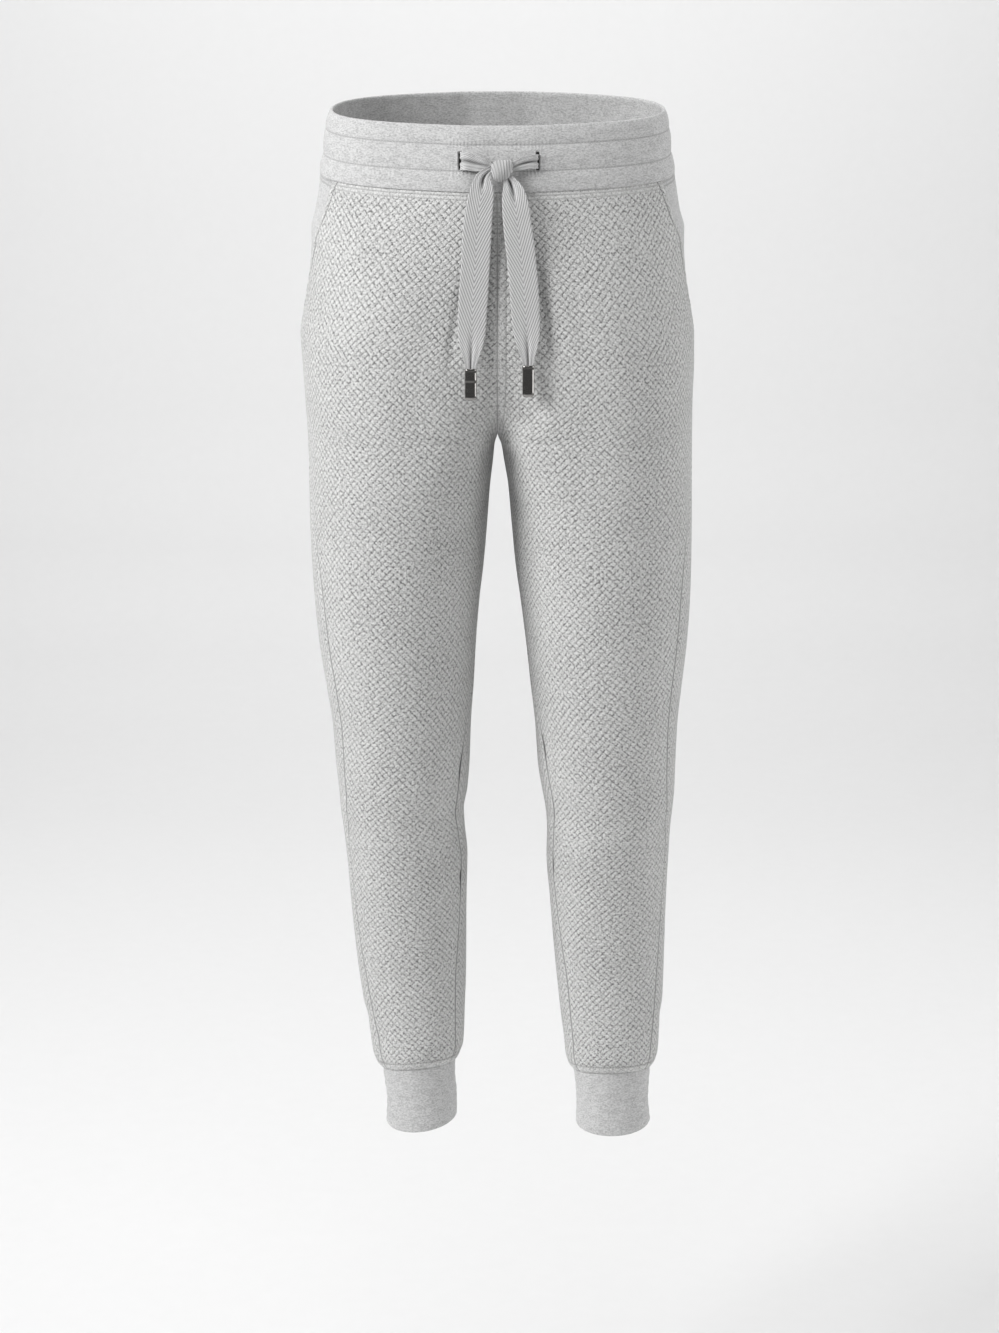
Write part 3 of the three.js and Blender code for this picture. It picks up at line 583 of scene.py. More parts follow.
def barrel_quads(rings, around):
    """Quads of a tube of rings, and at each end a fan to one of the two vertices that follow the rings."""
    i, j = grid_corners(rings, around, False, True)
    here = np.arange(around)
    following = (here + 1) % around
    end = (rings - 1) * around
    first = np.full(around, rings * around)
    return np.concatenate([
        i * around + j % around,
        np.stack([here, following, first, first], axis=-1),
        np.stack([end + following, end + here, first + 1, first + 1], axis=-1),
    ])


def enclosed(points, quads):
    """Volume that quads enclose, above zero where they face outwards."""
    a, b, c, d = (points[quads[:, k]] for k in range(4))
    return np.einsum("ij,ij->", a, np.cross(b, c)) + np.einsum("ij,ij->", a, np.cross(c, d))


def put_mesh(name, points, quads, uvs=None, attributes=None):
    """A mesh object from vertices, quads and one UV for each corner; a repeated corner makes a triangle."""
    if enclosed(points, quads) < 0:
        quads = quads[:, ::-1]
        uvs = None if uvs is None else uvs[:, ::-1]
    keep = np.ones(quads.shape, bool)
    keep[:, 3] = quads[:, 3] != quads[:, 2]
    keep[:, 0] = quads[:, 0] != quads[:, 1]
    totals = keep.sum(axis=1)
    mesh = bpy.data.meshes.new(name)
    mesh.vertices.add(len(points))
    mesh.vertices.foreach_set("co", points.astype(np.float32).ravel())
    mesh.loops.add(int(totals.sum()))
    mesh.loops.foreach_set("vertex_index", quads[keep].astype(np.int32))
    mesh.polygons.add(len(quads))
    mesh.polygons.foreach_set("loop_start", np.concatenate([[0], np.cumsum(totals)[:-1]]).astype(np.int32))
    mesh.polygons.foreach_set("loop_total", totals.astype(np.int32))
    mesh.polygons.foreach_set("use_smooth", np.ones(len(quads), bool))
    if uvs is not None:
        layer = mesh.uv_layers.new(name="cloth")
        layer.data.foreach_set("uv", uvs[keep].astype(np.float32).ravel())
    for key, values in (attributes or {}).items():
        layer = mesh.attributes.new(name=key, type="FLOAT", domain="POINT")
        layer.data.foreach_set("value", values.astype(np.float32).ravel())
    mesh.update(calc_edges=True)
    if mesh.validate():
        raise ValueError(f"{name} has faulty faces")
    piece = bpy.data.objects.new(name, mesh)
    bpy.context.scene.collection.objects.link(piece)
    return piece


def dress(piece, material, slot, *nodes):
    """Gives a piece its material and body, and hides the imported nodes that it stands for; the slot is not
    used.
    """
    piece.data.materials.append(material)
    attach(piece, "root")
    if nodes:
        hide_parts(*nodes)
    return piece


def shell(name, outer, inner, uv, attributes):
    """A closed cloth: the outer grid, the inner grid turned over, and a rim of quads round their borders."""
    rows, columns = outer.shape[:2]
    i, j = grid_corners(rows, columns)
    face = i * columns + j
    count = rows * columns
    border = np.concatenate([
        np.arange(columns), np.arange(1, rows) * columns + columns - 1,
        (rows - 1) * columns + np.arange(columns - 2, -1, -1), np.arange(rows - 2, 0, -1) * columns,
    ])
    following = np.roll(border, -1)
    rim = np.stack([border, border + count, following + count, following], axis=-1)
    quads = np.concatenate([face, face[:, ::-1] + count, rim[:, ::-1]])
    points = np.concatenate([outer.reshape(-1, 3), inner.reshape(-1, 3)])
    doubled = {key: np.tile(values.ravel(), 2) for key, values in attributes.items()}
    return put_mesh(name, points, quads, uv.reshape(-1, 2)[quads % count], doubled)


def ring(name, points, row, attributes):
    """A closed ring of columns, each a closed outline.

    Its UV is the distance round the ring along one row, and the distance round the first outline.
    """
    columns, outline = points.shape[:2]
    closed = np.concatenate([points, points[:1]])
    closed = np.concatenate([closed, closed[:, :1]], axis=1)
    uv = np.stack(np.broadcast_arrays(distances(closed[:, [row]], 0), distances(closed[:1], 1)), axis=-1)
    i, j = grid_corners(columns, outline, True, True)
    quads = (i % columns) * outline + j % outline
    return put_mesh(name, points.reshape(-1, 3), quads, uv[i, j], attributes)


def eased(start, end, count, power=1.0):
    """Values from start to just before end, closing up towards the end as the power grows."""
    t = np.arange(count) / count
    return start + (end - start) * (1 - (1 - t) ** power)


# Rows of a panel's grid, close together at the crotch, half way down the leg and at both ends
PANEL_HEIGHTS = np.concatenate([
    eased(WAIST_SEAM - SEAM_GAP / 2, -0.073, 12), eased(-0.073, -0.268, 68), eased(-0.268, CROTCH, 34, 2.2),
    eased(-0.340, CROTCH, 20, 2.0)[::-1], eased(-0.343, -0.655, 96), eased(-0.655, -0.735, 32),
    eased(-0.735, -0.940, 62), eased(-0.940, HEM_SEAM + SEAM_GAP / 2, 27), [HEM_SEAM + SEAM_GAP / 2],
])
PANEL_COLUMNS = 92
EDGE_CLOSING = 0.55
# Column along which the lengths of the knit are measured, as a share of the columns
GRAIN_SHARE = 0.42
# Half of the gap between the left and the right panels at the rise seams
RISE_GAP = 0.00004

# Cloth rolls into a seam, less near the crotch, where the two sides of the rise seam lie flat together
SEAM_ROLL = 0.0013
SEAM_REACH = 0.0024
ROLL_FADES = (-0.200, -0.255)
ROLL_RETURNS = (CROTCH, -0.330)
ROLL_SPARED = 0.010
# Above the crotch this is added to the distance to the rise seam, so that its painted shade is fainter
RISE_FAINTER = 0.0007
HEM_ROLL_SHARE = 0.5
HEM_REACH = 0.0016
# Sewing dents the cloth, and the cloth between a seam and its topstitching stands up and is pressed
STITCH_DENT = 0.00055
STITCH_REACH = 0.0011
COVER_ROWS = (0.0026, 0.0062)
CENTRE_MARGIN = 0.0078
PRESSED_REACH = 0.0022
HEM_STEP = 0.0006
MOUTH_STEP = 0.0005
STEP_HALF = 0.0012
# How far above the crotch the sewing beside the centre seam ends, and fades
CENTRE_ENDS = 0.018
CENTRE_FADES = (0.012, 0.022)
# A distance at which nothing is drawn
FAR = 0.05


def leg_panel(name, side, start_at, end_at, sewing, **seams):
    """Front or back of a leg: the skin between two seams, one grid of turns by heights.

    Columns close up towards both seams. The relief of the seams comes from the distances to the four
    edges.
    """
    z = PANEL_HEIGHTS[:, None]
    start, end = start_at(z), end_at(z)
    on_centre = z > CROTCH
    start = np.where(on_centre & (start == 0), start, shift_turn(side, start, z, SEAM_GAP / 2))
    end = np.where(on_centre & (end == 4), end, shift_turn(side, end, z, -SEAM_GAP / 2))
    t = np.linspace(0, 1, PANEL_COLUMNS)[None, :]
    share = t - EDGE_CLOSING * np.sin(2 * np.pi * t) / (2 * np.pi)
    turn = start + (end - start) * share
    z = np.broadcast_to(z, turn.shape)
    base = plain_skin(side, turn, z)
    normal = outwards(side, turn, z)
    fold = fold_height(side, turn, z)
    across = distances(base, 1)
    grain = int(PANEL_COLUMNS * GRAIN_SHARE)
    down = distances(base[:, [grain]], 0)
    edges = {
        "start": across, "end": across[:, -1:] - across,
        "top": WAIST_SEAM - z, "bottom": z - HEM_SEAM, "z": z,
    }
    height, attributes = seam_relief(edges, sewing, **seams)
    outer = base + normal * (fold + height)[..., None]
    inner = base + normal * (fold - KNIT_WALL)[..., None]
    gap = np.where(z >= CROTCH, RISE_GAP, 0)
    for grid in (outer, inner):
        grid[..., 0] = SIDES[side] * np.maximum(gap, SIDES[side] * grid[..., 0])
    uv = np.stack([across - across[:, [grain]], np.broadcast_to(down, across.shape)], axis=-1)
    return shell(name, outer, inner, uv, attributes)


def seam_relief(edges, sewing, on_rise_seam, mouth_edge=False, centre=False):
    """Height over a panel, and its attributes: how far it is from each line of sewing, and how pressed.

    Cloth rolls down into a seam by a bell of the distance to it, and is dented along its stitches.
    """
    nearest = np.minimum.reduce([edges["start"], edges["end"], np.maximum(edges["top"], 0)])
    from_mouth = from_centre = np.full_like(nearest, FAR)
    under = ramp(ROLL_FADES, edges["z"]) * (1 - ramp(ROLL_RETURNS, edges["z"]))
    roll = SEAM_ROLL * (1 - under * bell(edges[on_rise_seam], ROLL_SPARED))
    height = -roll * bell(nearest, SEAM_REACH)
    height -= SEAM_ROLL * HEM_ROLL_SHARE * bell(edges["bottom"], HEM_REACH)
    pressed = bell(nearest, PRESSED_REACH)
    for row in COVER_ROWS:
        height -= STITCH_DENT * bell(edges["top"] - row, STITCH_REACH)
    pressed = np.maximum(pressed, 1 - ramp((COVER_ROWS[1], COVER_ROWS[1] + 0.002), edges["top"]))
    hem = edges["bottom"] - sewing.hem_margin
    height += HEM_STEP * (1 - ramp((-STEP_HALF, STEP_HALF), hem))
    height -= STITCH_DENT * 1.6 * bell(hem, STITCH_REACH)
    pressed = np.maximum(pressed, 0.75 * (1 - ramp((-0.0005, 0.0012), hem)))
    if mouth_edge:
        on_mouth = smooth((edges["z"] - POCKET_END + 0.002) / 0.004)
        line = edges["end"] - sewing.mouth_margin
        from_mouth = np.where(edges["z"] > POCKET_END, line, FAR)
        step = MOUTH_STEP * (1 - ramp((-STEP_HALF, STEP_HALF), line))
        height += on_mouth * (step - STITCH_DENT * 1.4 * bell(line, STITCH_REACH))
        pressed = np.maximum(pressed, 0.35 * on_mouth * (1 - ramp((-0.0005, 0.0015), line)))
    if centre:
        on_rise = ramp(CENTRE_FADES, edges["z"] - CROTCH)
        line = edges[on_rise_seam] - CENTRE_MARGIN
        from_centre = np.where(edges["z"] > CROTCH + CENTRE_ENDS, line, FAR)
        height -= STITCH_DENT * on_rise * bell(line, STITCH_REACH)
        pressed = np.maximum(pressed, 0.5 * on_rise * (1 - ramp((-0.001, 0.001), line)))
    other_seam = edges["end" if on_rise_seam == "start" else "start"]
    rise_seam = edges[on_rise_seam] + RISE_FAINTER * smooth((edges["z"] - CROTCH) / 0.01)
    # These distances place the knit's painted shade along the seams and the lines of sewing
    return height, {
        "pressed": np.clip(pressed, 0, 1), "from_seam": np.minimum(other_seam, rise_seam),
        "from_waist": edges["top"], "from_hem": edges["bottom"],
        "from_mouth": from_mouth, "from_centre": from_centre,
    }


def facing_depth(side, turn, z):
    """How far the facing lies inside the skin: under the front at the mouth, flush at the side seam."""
    seam = side_seam(z)
    edge = shift_turn(side, mouth(z), z, FACING_EDGE)
    flush = np.where(seam > edge, smooth((turn - edge) / np.maximum(seam - edge, 1e-6)), 0)
    return (KNIT_WALL + FACING_CLEARANCE) * (1 - flush)


def pocket_facing(side):
    """Jersey behind the pocket mouth: from one solid column under the front out to the side seam."""
    z = np.linspace(WAIST_SEAM - SEAM_GAP / 2, POCKET_END, FACING_GRID[0])
    z = np.sort(np.concatenate([z, WAIST_SEAM - np.array(COVER_ROWS)]))[::-1, None]
    start = mouth(z) * (1 - 1 / PANEL_COLUMNS_IN_SOLID)
    end = shift_turn(side, side_seam(z), z, -SEAM_GAP / 2)
    turn = start + (end - start) * np.linspace(0, 1, FACING_GRID[1])[None, :]
    z = np.broadcast_to(z, turn.shape)
    depth = facing_depth(side, turn, z)
    across = distances(plain_skin(side, turn, z), 1)
    seam = SEAM_ROLL * bell(across[:, -1:] - across, SEAM_REACH)
    for row in COVER_ROWS:
        seam = seam + STITCH_DENT * 0.7 * bell(WAIST_SEAM - z - row, STITCH_REACH)
    outer = skin(side, turn, z, depth + seam)
    inner = skin(side, turn, z, depth + JERSEY_WALL)
    uv = np.stack([across, WAIST_SEAM - z], axis=-1)
    sewn = np.minimum.reduce([np.abs(WAIST_SEAM - z - row) for row in COVER_ROWS])
    return shell(f"facing_{side}", outer, inner, uv, {"tint": np.zeros(z.shape), "sewn": sewn})


def band_turns():
    """Turns round one half of the waist, closer together across the front where the buttonholes are."""
    return np.concatenate([np.arange(0, 0.9, 0.011), np.linspace(0.9, 4, 128)])


def band_profile():
    """Outline of the band as heights and depths: face from top to foot, then the inside back up."""
    drop = np.sort(np.concatenate([np.linspace(0.0006, BAND_HEIGHT - 0.0002, 66), BAND_STITCH_ROWS]))
    rows = np.array([0, *BAND_STITCH_ROWS, BAND_HEIGHT])
    channel = np.clip(np.searchsorted(rows, drop, side="right") - 1, 0, 2)
    share = (drop - rows[channel]) / (rows[channel + 1] - rows[channel])
    puff = CHANNEL_PUFF * np.sin(np.pi * np.clip(share, 0.02, 0.98)) ** PUFF_ROUND
    inner = BAND_INSET + BAND_WALL - CHANNEL_PUFF / 2
    inside = np.array([-0.0597, -0.052, -0.044, -0.036, -0.028, -0.020, -0.012, -0.006, -0.0032])
    heights = np.concatenate([BAND_TOP - drop, inside, [-0.0021, -0.0019]])
    closing = inner - np.array([0.0007, 0.0018])
    depths = np.concatenate([BAND_INSET - puff, np.full(len(inside), inner), closing])
    return heights, depths, len(drop)


def buttonhole_place(side, points):
    """Distances across and up from the middle of a buttonhole."""
    return np.abs(points[..., 0]) - BUTTONHOLES[side], points[..., 2] - BUTTONHOLE_HEIGHT


def half_band(side, turns):
    """Points of one half of the band, with its slit and puckered rows, and how far each is in the slit,
    which sets the painted shade inside the slit.
    """
    heights, depths, face_rows = band_profile()
    turn, z = np.meshgrid(turns, heights, indexing="ij")
    points = plain_skin(side, turn, z)
    across, up = buttonhole_place(side, points)
    on_face = (np.arange(len(heights)) < face_rows)[None, :]
    inside_slit = smooth((BUTTONHOLE_REACH - np.abs(up)) / SLIT_TAPER)
    slit = on_face * inside_slit * np.exp(-(across / BUTTONHOLE_HALF) ** 4)
    beside, beyond = np.abs(across) - RIM_INSIDE, np.abs(up) - BUTTONHOLE_REACH + RIM_SHORTER
    outside_hole = np.hypot(np.maximum(beside, 0), np.maximum(beyond, 0))
    rim = on_face * bell(outside_hole - BUTTONHOLE_RIM, RIM_REACH)
    near_rows = sum(bell(BAND_TOP - z - row, PUCKER_REACH) for row in BAND_STITCH_ROWS)
    pucker = on_face * PUCKER * np.sin(turn * PUCKERS + 3 * np.sin(turn * 7)) * near_rows
    depth = depths[None, :] + BUTTONHOLE_DEPTH * slit - RIM_HEIGHT * rim * (1 - slit) + pucker
    return skin(side, turn, z, depth), slit


# Rows of the band's and a cuff's outline along which the lengths of the jersey are measured
BAND_MIDDLE_ROW = 30
CUFF_MIDDLE_ROW = 20
# Cuff: columns round it, tuck under the hem, fine ripple, and over what height the ripple grows
CUFF_COLUMNS = 150
CUFF_TUCK = 0.0011
TUCK_REACH = 0.003
RIPPLE = 0.00035
RIPPLE_GROWS = 0.006


def waistband():
    """Ring of two halves, one for each leg's skin, joined at the centre front and the centre back."""
    turns = band_turns()
    left, slit_left = half_band("left", turns)
    right, slit_right = half_band("right", turns[1:-1][::-1])
    slit = np.concatenate([slit_left, slit_right])
    heights, _, face_rows = band_profile()
    sewn = np.minimum.reduce([np.abs(BAND_TOP - heights - row) for row in BAND_STITCH_ROWS])
    sewn[face_rows:] = FAR
    # The attribute taken from the slit paints shade inside the buttonhole slits
    return ring("waistband_dressed", np.concatenate([left, right]), BAND_MIDDLE_ROW,
                {"tint": slit, "sewn": np.broadcast_to(sewn, slit.shape)})


def cuff(side):
    """Tube folded in two: face from the hem down, round the fold and back up inside, once round the leg.

    Two crossing sine waves ripple its face, and a bell tucks it in under the hem.
    """
    start = float(inseam(np.array(HEM_SEAM)))
    turns = start + 4 * np.arange(CUFF_COLUMNS) / CUFF_COLUMNS
    top, foot = HEM_SEAM - SEAM_GAP / 2, CUFF_BOTTOM + 0.0016
    face, inside = np.linspace(top, foot, 40), np.linspace(foot, top, 12)
    tuck = CUFF_TUCK * bell(HEM_SEAM - face, TUCK_REACH)
    fold = CUFF_BOTTOM + np.array([0.0004, 0, 0.0004])
    heights = np.concatenate([face, fold, inside])
    depths = np.concatenate([tuck, CUFF_WALL * np.array([0.2, 0.5, 0.8]), np.full(len(inside), CUFF_WALL)])
    turn, z = np.meshgrid(turns, heights, indexing="ij")
    ripple = RIPPLE * np.sin(9 * turn + 260 * z) * np.sin(5 * turn - 410 * z + 1.3)
    on_face = (np.arange(len(heights)) < len(face))[None, :] * smooth((HEM_SEAM - z) / RIPPLE_GROWS)
    points = skin(side, turn, z, depths[None, :] + ripple * on_face)
    blank = np.zeros(points.shape[:2])
    return ring(f"cuff_{side}_dressed", points, CUFF_MIDDLE_ROW, {"tint": blank, "sewn": blank + FAR})


def through_stations(stations, spacing):
    """Stations joined by cubics whose slope at each is that of its neighbours, then spaced evenly."""
    data = np.array(stations, float)
    chord = np.concatenate([[0], np.cumsum(np.linalg.norm(np.diff(data[:, :3], axis=0), axis=1))])
    slope = np.gradient(data, chord, axis=0)
    places = np.linspace(0, chord[-1], int(chord[-1] / spacing) + 1)
    row = np.clip(np.searchsorted(chord, places, side="right") - 1, 0, len(chord) - 2)
    step = (chord[row + 1] - chord[row])[:, None]
    t = (places - chord[row])[:, None] / step
    return cubic(t, step, data[row], slope[row], data[row + 1], slope[row + 1])


def there_and_back(front, back):
    """Columns across the front face, and then back across the other."""
    return np.concatenate([front, back[:, ::-1]], axis=1)


STRING_SPACING = 0.0014
STRING_COLUMNS_ACROSS = 21
EDGE_CURL = 0.0004
DEEPEST_CREASE = 0.0034
GATHERS = 0.00035
GATHERED_BELOW = 0.010


def drawstring(side):
    """Flat tape carried along its stations.

    A cross-section is two faces a thickness apart. Their middle sinks by a bell of the crease depth, and
    the edges curl forward by the third power of the place across. The attribute fold is painted shade and
    painted light: it is 1 in the middle of a deep crease, where it darkens the tape, and falls below 0
    beside it, by a narrower bell, where it lightens the tape.
    """
    path = through_stations(STRINGS[side], STRING_SPACING)
    middle = path[:, :3]
    width, crease, thick = (path[:, k][:, None] for k in (3, 4, 5))
    along = unit(np.gradient(middle, axis=0))
    across = unit(np.cross(along, [0.0, 1.0, 0.0]))
    through = np.cross(across, along)
    place = np.linspace(-1, 1, STRING_COLUMNS_ACROSS)[None, :]
    edge = np.sqrt(np.clip(1 - np.abs(place) ** 8, 0, 1))
    gathered = smooth((STRING_WIDTH - width) / GATHERED_BELOW)
    sink = crease * (bell(place, 0.24) - 0.30) - EDGE_CURL * np.abs(place) ** 3
    # Painted shade in the middle of a deep crease, and painted light on the tape beside it
    fold = np.clip(crease / DEEPEST_CREASE, 0, 1) * (1.55 * bell(place, 0.15) - 0.55)
    ripple = GATHERS * gathered * np.cos(place * 9.4)
    half_thick = thick / 2 * (0.25 + 0.75 * edge)
    depth = there_and_back(sink + ripple - half_thick, sink + ripple + half_thick)
    there = there_and_back(place, place)
    side_way = there * width / 2
    points = middle[:, None] + across[:, None] * side_way[..., None] + through[:, None] * depth[..., None]
    rows, outline = points.shape[:2]
    i, j = grid_corners(rows, outline, False, True)
    k = np.arange(STRING_COLUMNS_ACROSS - 1)
    cap = np.stack([k, k + 1, outline - 2 - k, outline - 1 - k], axis=-1)
    end = (rows - 1) * outline + cap
    quads = np.concatenate([i * outline + j % outline, cap, end[:, ::-1]])
    flat = there[0] * STRING_WIDTH / 2
    run = distances(middle[:, None], 0)[:, 0]
    uvs = np.stack([flat[quads % outline], run[quads // outline]], axis=-1)
    shades = {"fold": there_and_back(fold, fold)}
    return put_mesh(f"drawstring_{side}", points.reshape(-1, 3), quads, uvs, shades), middle


KNOT_GRID = (84, 110)
KNOT_SQUARE = 2.7
KNOT_LEAN = 0.22
KNOT_RIBS = 27
RIB_HEIGHT = 0.026


def knot():
    """Short barrel with square shoulders, its tape drawn round it in leaning ribs and one deep turn.

    A ring's size is a superellipse of its place along. Ribs are a cosine of the leaning place, and the
    deep turn is a pair of S-curves in it.
    """
    rings, around = KNOT_GRID
    along = np.linspace(-1, 1, rings + 2)[1:-1][:, None]
    angle = np.linspace(0, 2 * np.pi, around, endpoint=False)[None, :]
    size = (1 - np.abs(along) ** KNOT_SQUARE) ** (1 / KNOT_SQUARE)
    lean = along + KNOT_LEAN * np.sin(angle)
    ribs = RIB_HEIGHT * np.cos(KNOT_RIBS * lean) * size
    turn_edge = 0.10 * (ramp((-0.56, -0.46), lean) - 1) + 0.07 * (1 - ramp((0.62, 0.72), lean)) - 0.07
    girth = size * (1 + ribs + turn_edge + 0.05 * np.cos(2 * angle + 3 * along))
    up = girth * np.sin(angle)
    x = along * (0.90 + 0.16 * up) + 0.07 * size * np.sin(angle)
    barrel = np.stack(np.broadcast_arrays(x, girth * np.cos(angle), up + 0.12 * along * size), axis=-1)
    poles = np.array([[-0.985, 0, 0], [0.985, 0, 0]])
    points = np.concatenate([barrel.reshape(-1, 3), poles]) * KNOT_HALF + KNOT_MIDDLE
    quads = barrel_quads(rings, around)
    run = np.append(lean * KNOT_HALF[2], [-KNOT_HALF[2], KNOT_HALF[2]])
    round_it = np.append(np.broadcast_to(angle * 0.008, girth.shape), [0, 0])
    return put_mesh("knot_dressed", points, quads, np.stack([run, round_it], axis=-1)[quads])


TIP_CORNER = 0.0030
TIP_SQUARE = 0.92
TIP_SINK = 0.0002
LIP = 0.00022
BEAD = 0.00028
BEAD_DROP = 0.0106


def squared(value):
    """A power just under 1 of a sine or cosine, with its sign kept, which squares an oval."""
    return np.sign(value) * np.abs(value) ** TIP_SQUARE


def tip(side):
    """Pressed metal tip: a squared oval from its rolled top edge to its rounded lower corners.

    The right one, turned a little, also shows a pressed bead across its face.
    """
    straight = TIP_LENGTH - TIP_CORNER
    drop = np.concatenate([
        [0, 0.00015, 0.0005, 0.001], np.linspace(0.0016, straight, 22),
        straight + TIP_CORNER * np.sin(np.linspace(0, np.pi / 2, 14)[1:]),
    ])[:, None]
    angle = np.linspace(0, 2 * np.pi, 72, endpoint=False)[None, :]
    corner = np.clip(drop - straight, 0, TIP_CORNER)
    narrow = TIP_CORNER - np.sqrt(np.maximum(TIP_CORNER ** 2 - corner ** 2, 0)) + 0.0005 * bell(drop, 0.0004)
    lip = LIP * bell(drop - 0.0012, 0.0007) - TIP_SINK
    if side == "right":
        lip = lip + BEAD * smooth((0.0013 - np.abs(drop - BEAD_DROP)) / 0.0003)
    half_width = TIP_WIDTH / 2 - narrow * 0.92 + lip
    half_thick = TIP_THICK / 2 - narrow * 0.75 + lip
    x, y, z = TIP_TOPS[side]
    points = np.stack(np.broadcast_arrays(
        x + half_width * squared(np.cos(angle)), y + half_thick * squared(np.sin(angle)), z - drop), axis=-1)
    flat = np.concatenate([points.reshape(-1, 3), points[[0, -1]].mean(axis=1)])
    return put_mesh(f"tip_{side}_dressed", flat, barrel_quads(*points.shape[:2]))


# One stitch: place along and girth of its rings, its poles, its share of the pitch, and its sides
STITCH_RINGS = np.array([(-0.5, 0.45), (-0.28, 1.0), (0.28, 1.0), (0.5, 0.45)])
STITCH_POLES = np.array([-0.56, 0.56])
STITCH_SHARE = 0.72
STITCH_SIDES = 5


def sampled(values, length, places):
    """Rows of values at places along their running length."""
    return np.stack([np.interp(places, length, values[:, k]) for k in range(3)], axis=-1)


def stitches(name, runs, pitch, radius):
    """Rounded stitches laid end to end along runs of points and normals.

    A run is cut into steps of one pitch. Each stitch is four five-sided rings and two poles, seven tenths
    of the pitch long, and half sunk in the cloth.
    """
    middles, ways, ups = [], [], []
    for points, normals in runs:
        length = distances(points[:, None], 0)[:, 0]
        count = max(1, int(length[-1] / pitch))
        places = (np.arange(count) + 0.5) * length[-1] / count
        half = 0.3 * pitch
        middles.append(sampled(points, length, places))
        ways.append(unit(sampled(points, length, places + half) - sampled(points, length, places - half)))
        ups.append(unit(sampled(normals, length, places)))
    middle, way, up = (np.concatenate(group) for group in (middles, ways, ups))
    cross = unit(np.cross(way, up))
    angle = np.arange(STITCH_SIDES) * 2 * np.pi / STITCH_SIDES
    reach = STITCH_SHARE * pitch
    spokes = (cross[:, None, None] * np.cos(angle)[None, None, :, None]
              + up[:, None, None] * np.sin(angle)[None, None, :, None])
    along, girth = STITCH_RINGS.T[:, None, :, None, None]
    ring_points = middle[:, None, None] + way[:, None, None] * along * reach + radius * girth * spokes
    poles = middle[:, None] + way[:, None] * (STITCH_POLES * reach)[None, :, None]
    each = len(STITCH_RINGS) * STITCH_SIDES + 2
    points = np.concatenate([ring_points.reshape(len(middle), -1, 3), poles], axis=1)
    one = barrel_quads(len(STITCH_RINGS), STITCH_SIDES)
    quads = (one[None] + each * np.arange(len(middle))[:, None, None]).reshape(-1, 4)
    return put_mesh(name, points.reshape(-1, 3), quads)


def skin_run(side, turn, z, depth):
    """Points and normals of a line of sewing on the skin."""
    turn, z = np.broadcast_arrays(turn, z)
    return skin(side, turn, z, depth), outwards(side, turn, z)


def round_run(side, z, depth):
    """A line of sewing once round, at a depth that may be a function of the place."""
    turn = np.linspace(0.0, 4.0, 260)
    height = np.full_like(turn, z)
    return skin_run(side, turn, height, depth(side, turn, height) if callable(depth) else depth)


def seam_depth(side, turn, z):
    """Depth of the cloth under the coverstitch: the skin, or the facing between mouth and side seam."""
    on_facing = (turn > mouth(z)) & (turn < side_seam(z))
    return np.where(on_facing, facing_depth(side, turn, z), 0) + 0.0003


class Value:
    """A socket that adds Math nodes where it stands in an expression."""

    def __init__(self, shader, socket):
        self.shader = shader
        self.socket = socket

    def math(self, operation, *others):
        return self.shader.node("ShaderNodeMath", {"operation": operation},
                                {k: v for k, v in enumerate((self, *others))})

    def __add__(self, other):
        return self.math("ADD", other)

    def __mul__(self, other):
        return self.math("MULTIPLY", other)

    def __sub__(self, other):
        return self.math("SUBTRACT", other)

    def __rsub__(self, other):
        return self.shader.node("ShaderNodeMath", {"operation": "SUBTRACT"}, {0: other, 1: self})

    def __truediv__(self, other):
        return self.math("DIVIDE", other)

    def __pow__(self, other):
        return self.math("POWER", other)

    __radd__ = __add__
    __rmul__ = __mul__

    def absolute(self):
        return self.math("ABSOLUTE")

    def sine(self):
        return self.math("SINE")

    def larger(self, other):
        return self.math("MAXIMUM", other)

    def clamped(self):
        return self.shader.node("ShaderNodeClamp", {}, {"Value": self})

    def mapped(self, low, high, to_low=0.0, to_high=1.0):
        settings = {"interpolation_type": "SMOOTHSTEP"}
        return self.shader.node("ShaderNodeMapRange", settings, {
            "Value": self, "From Min": low, "From Max": high, "To Min": to_low, "To Max": to_high})


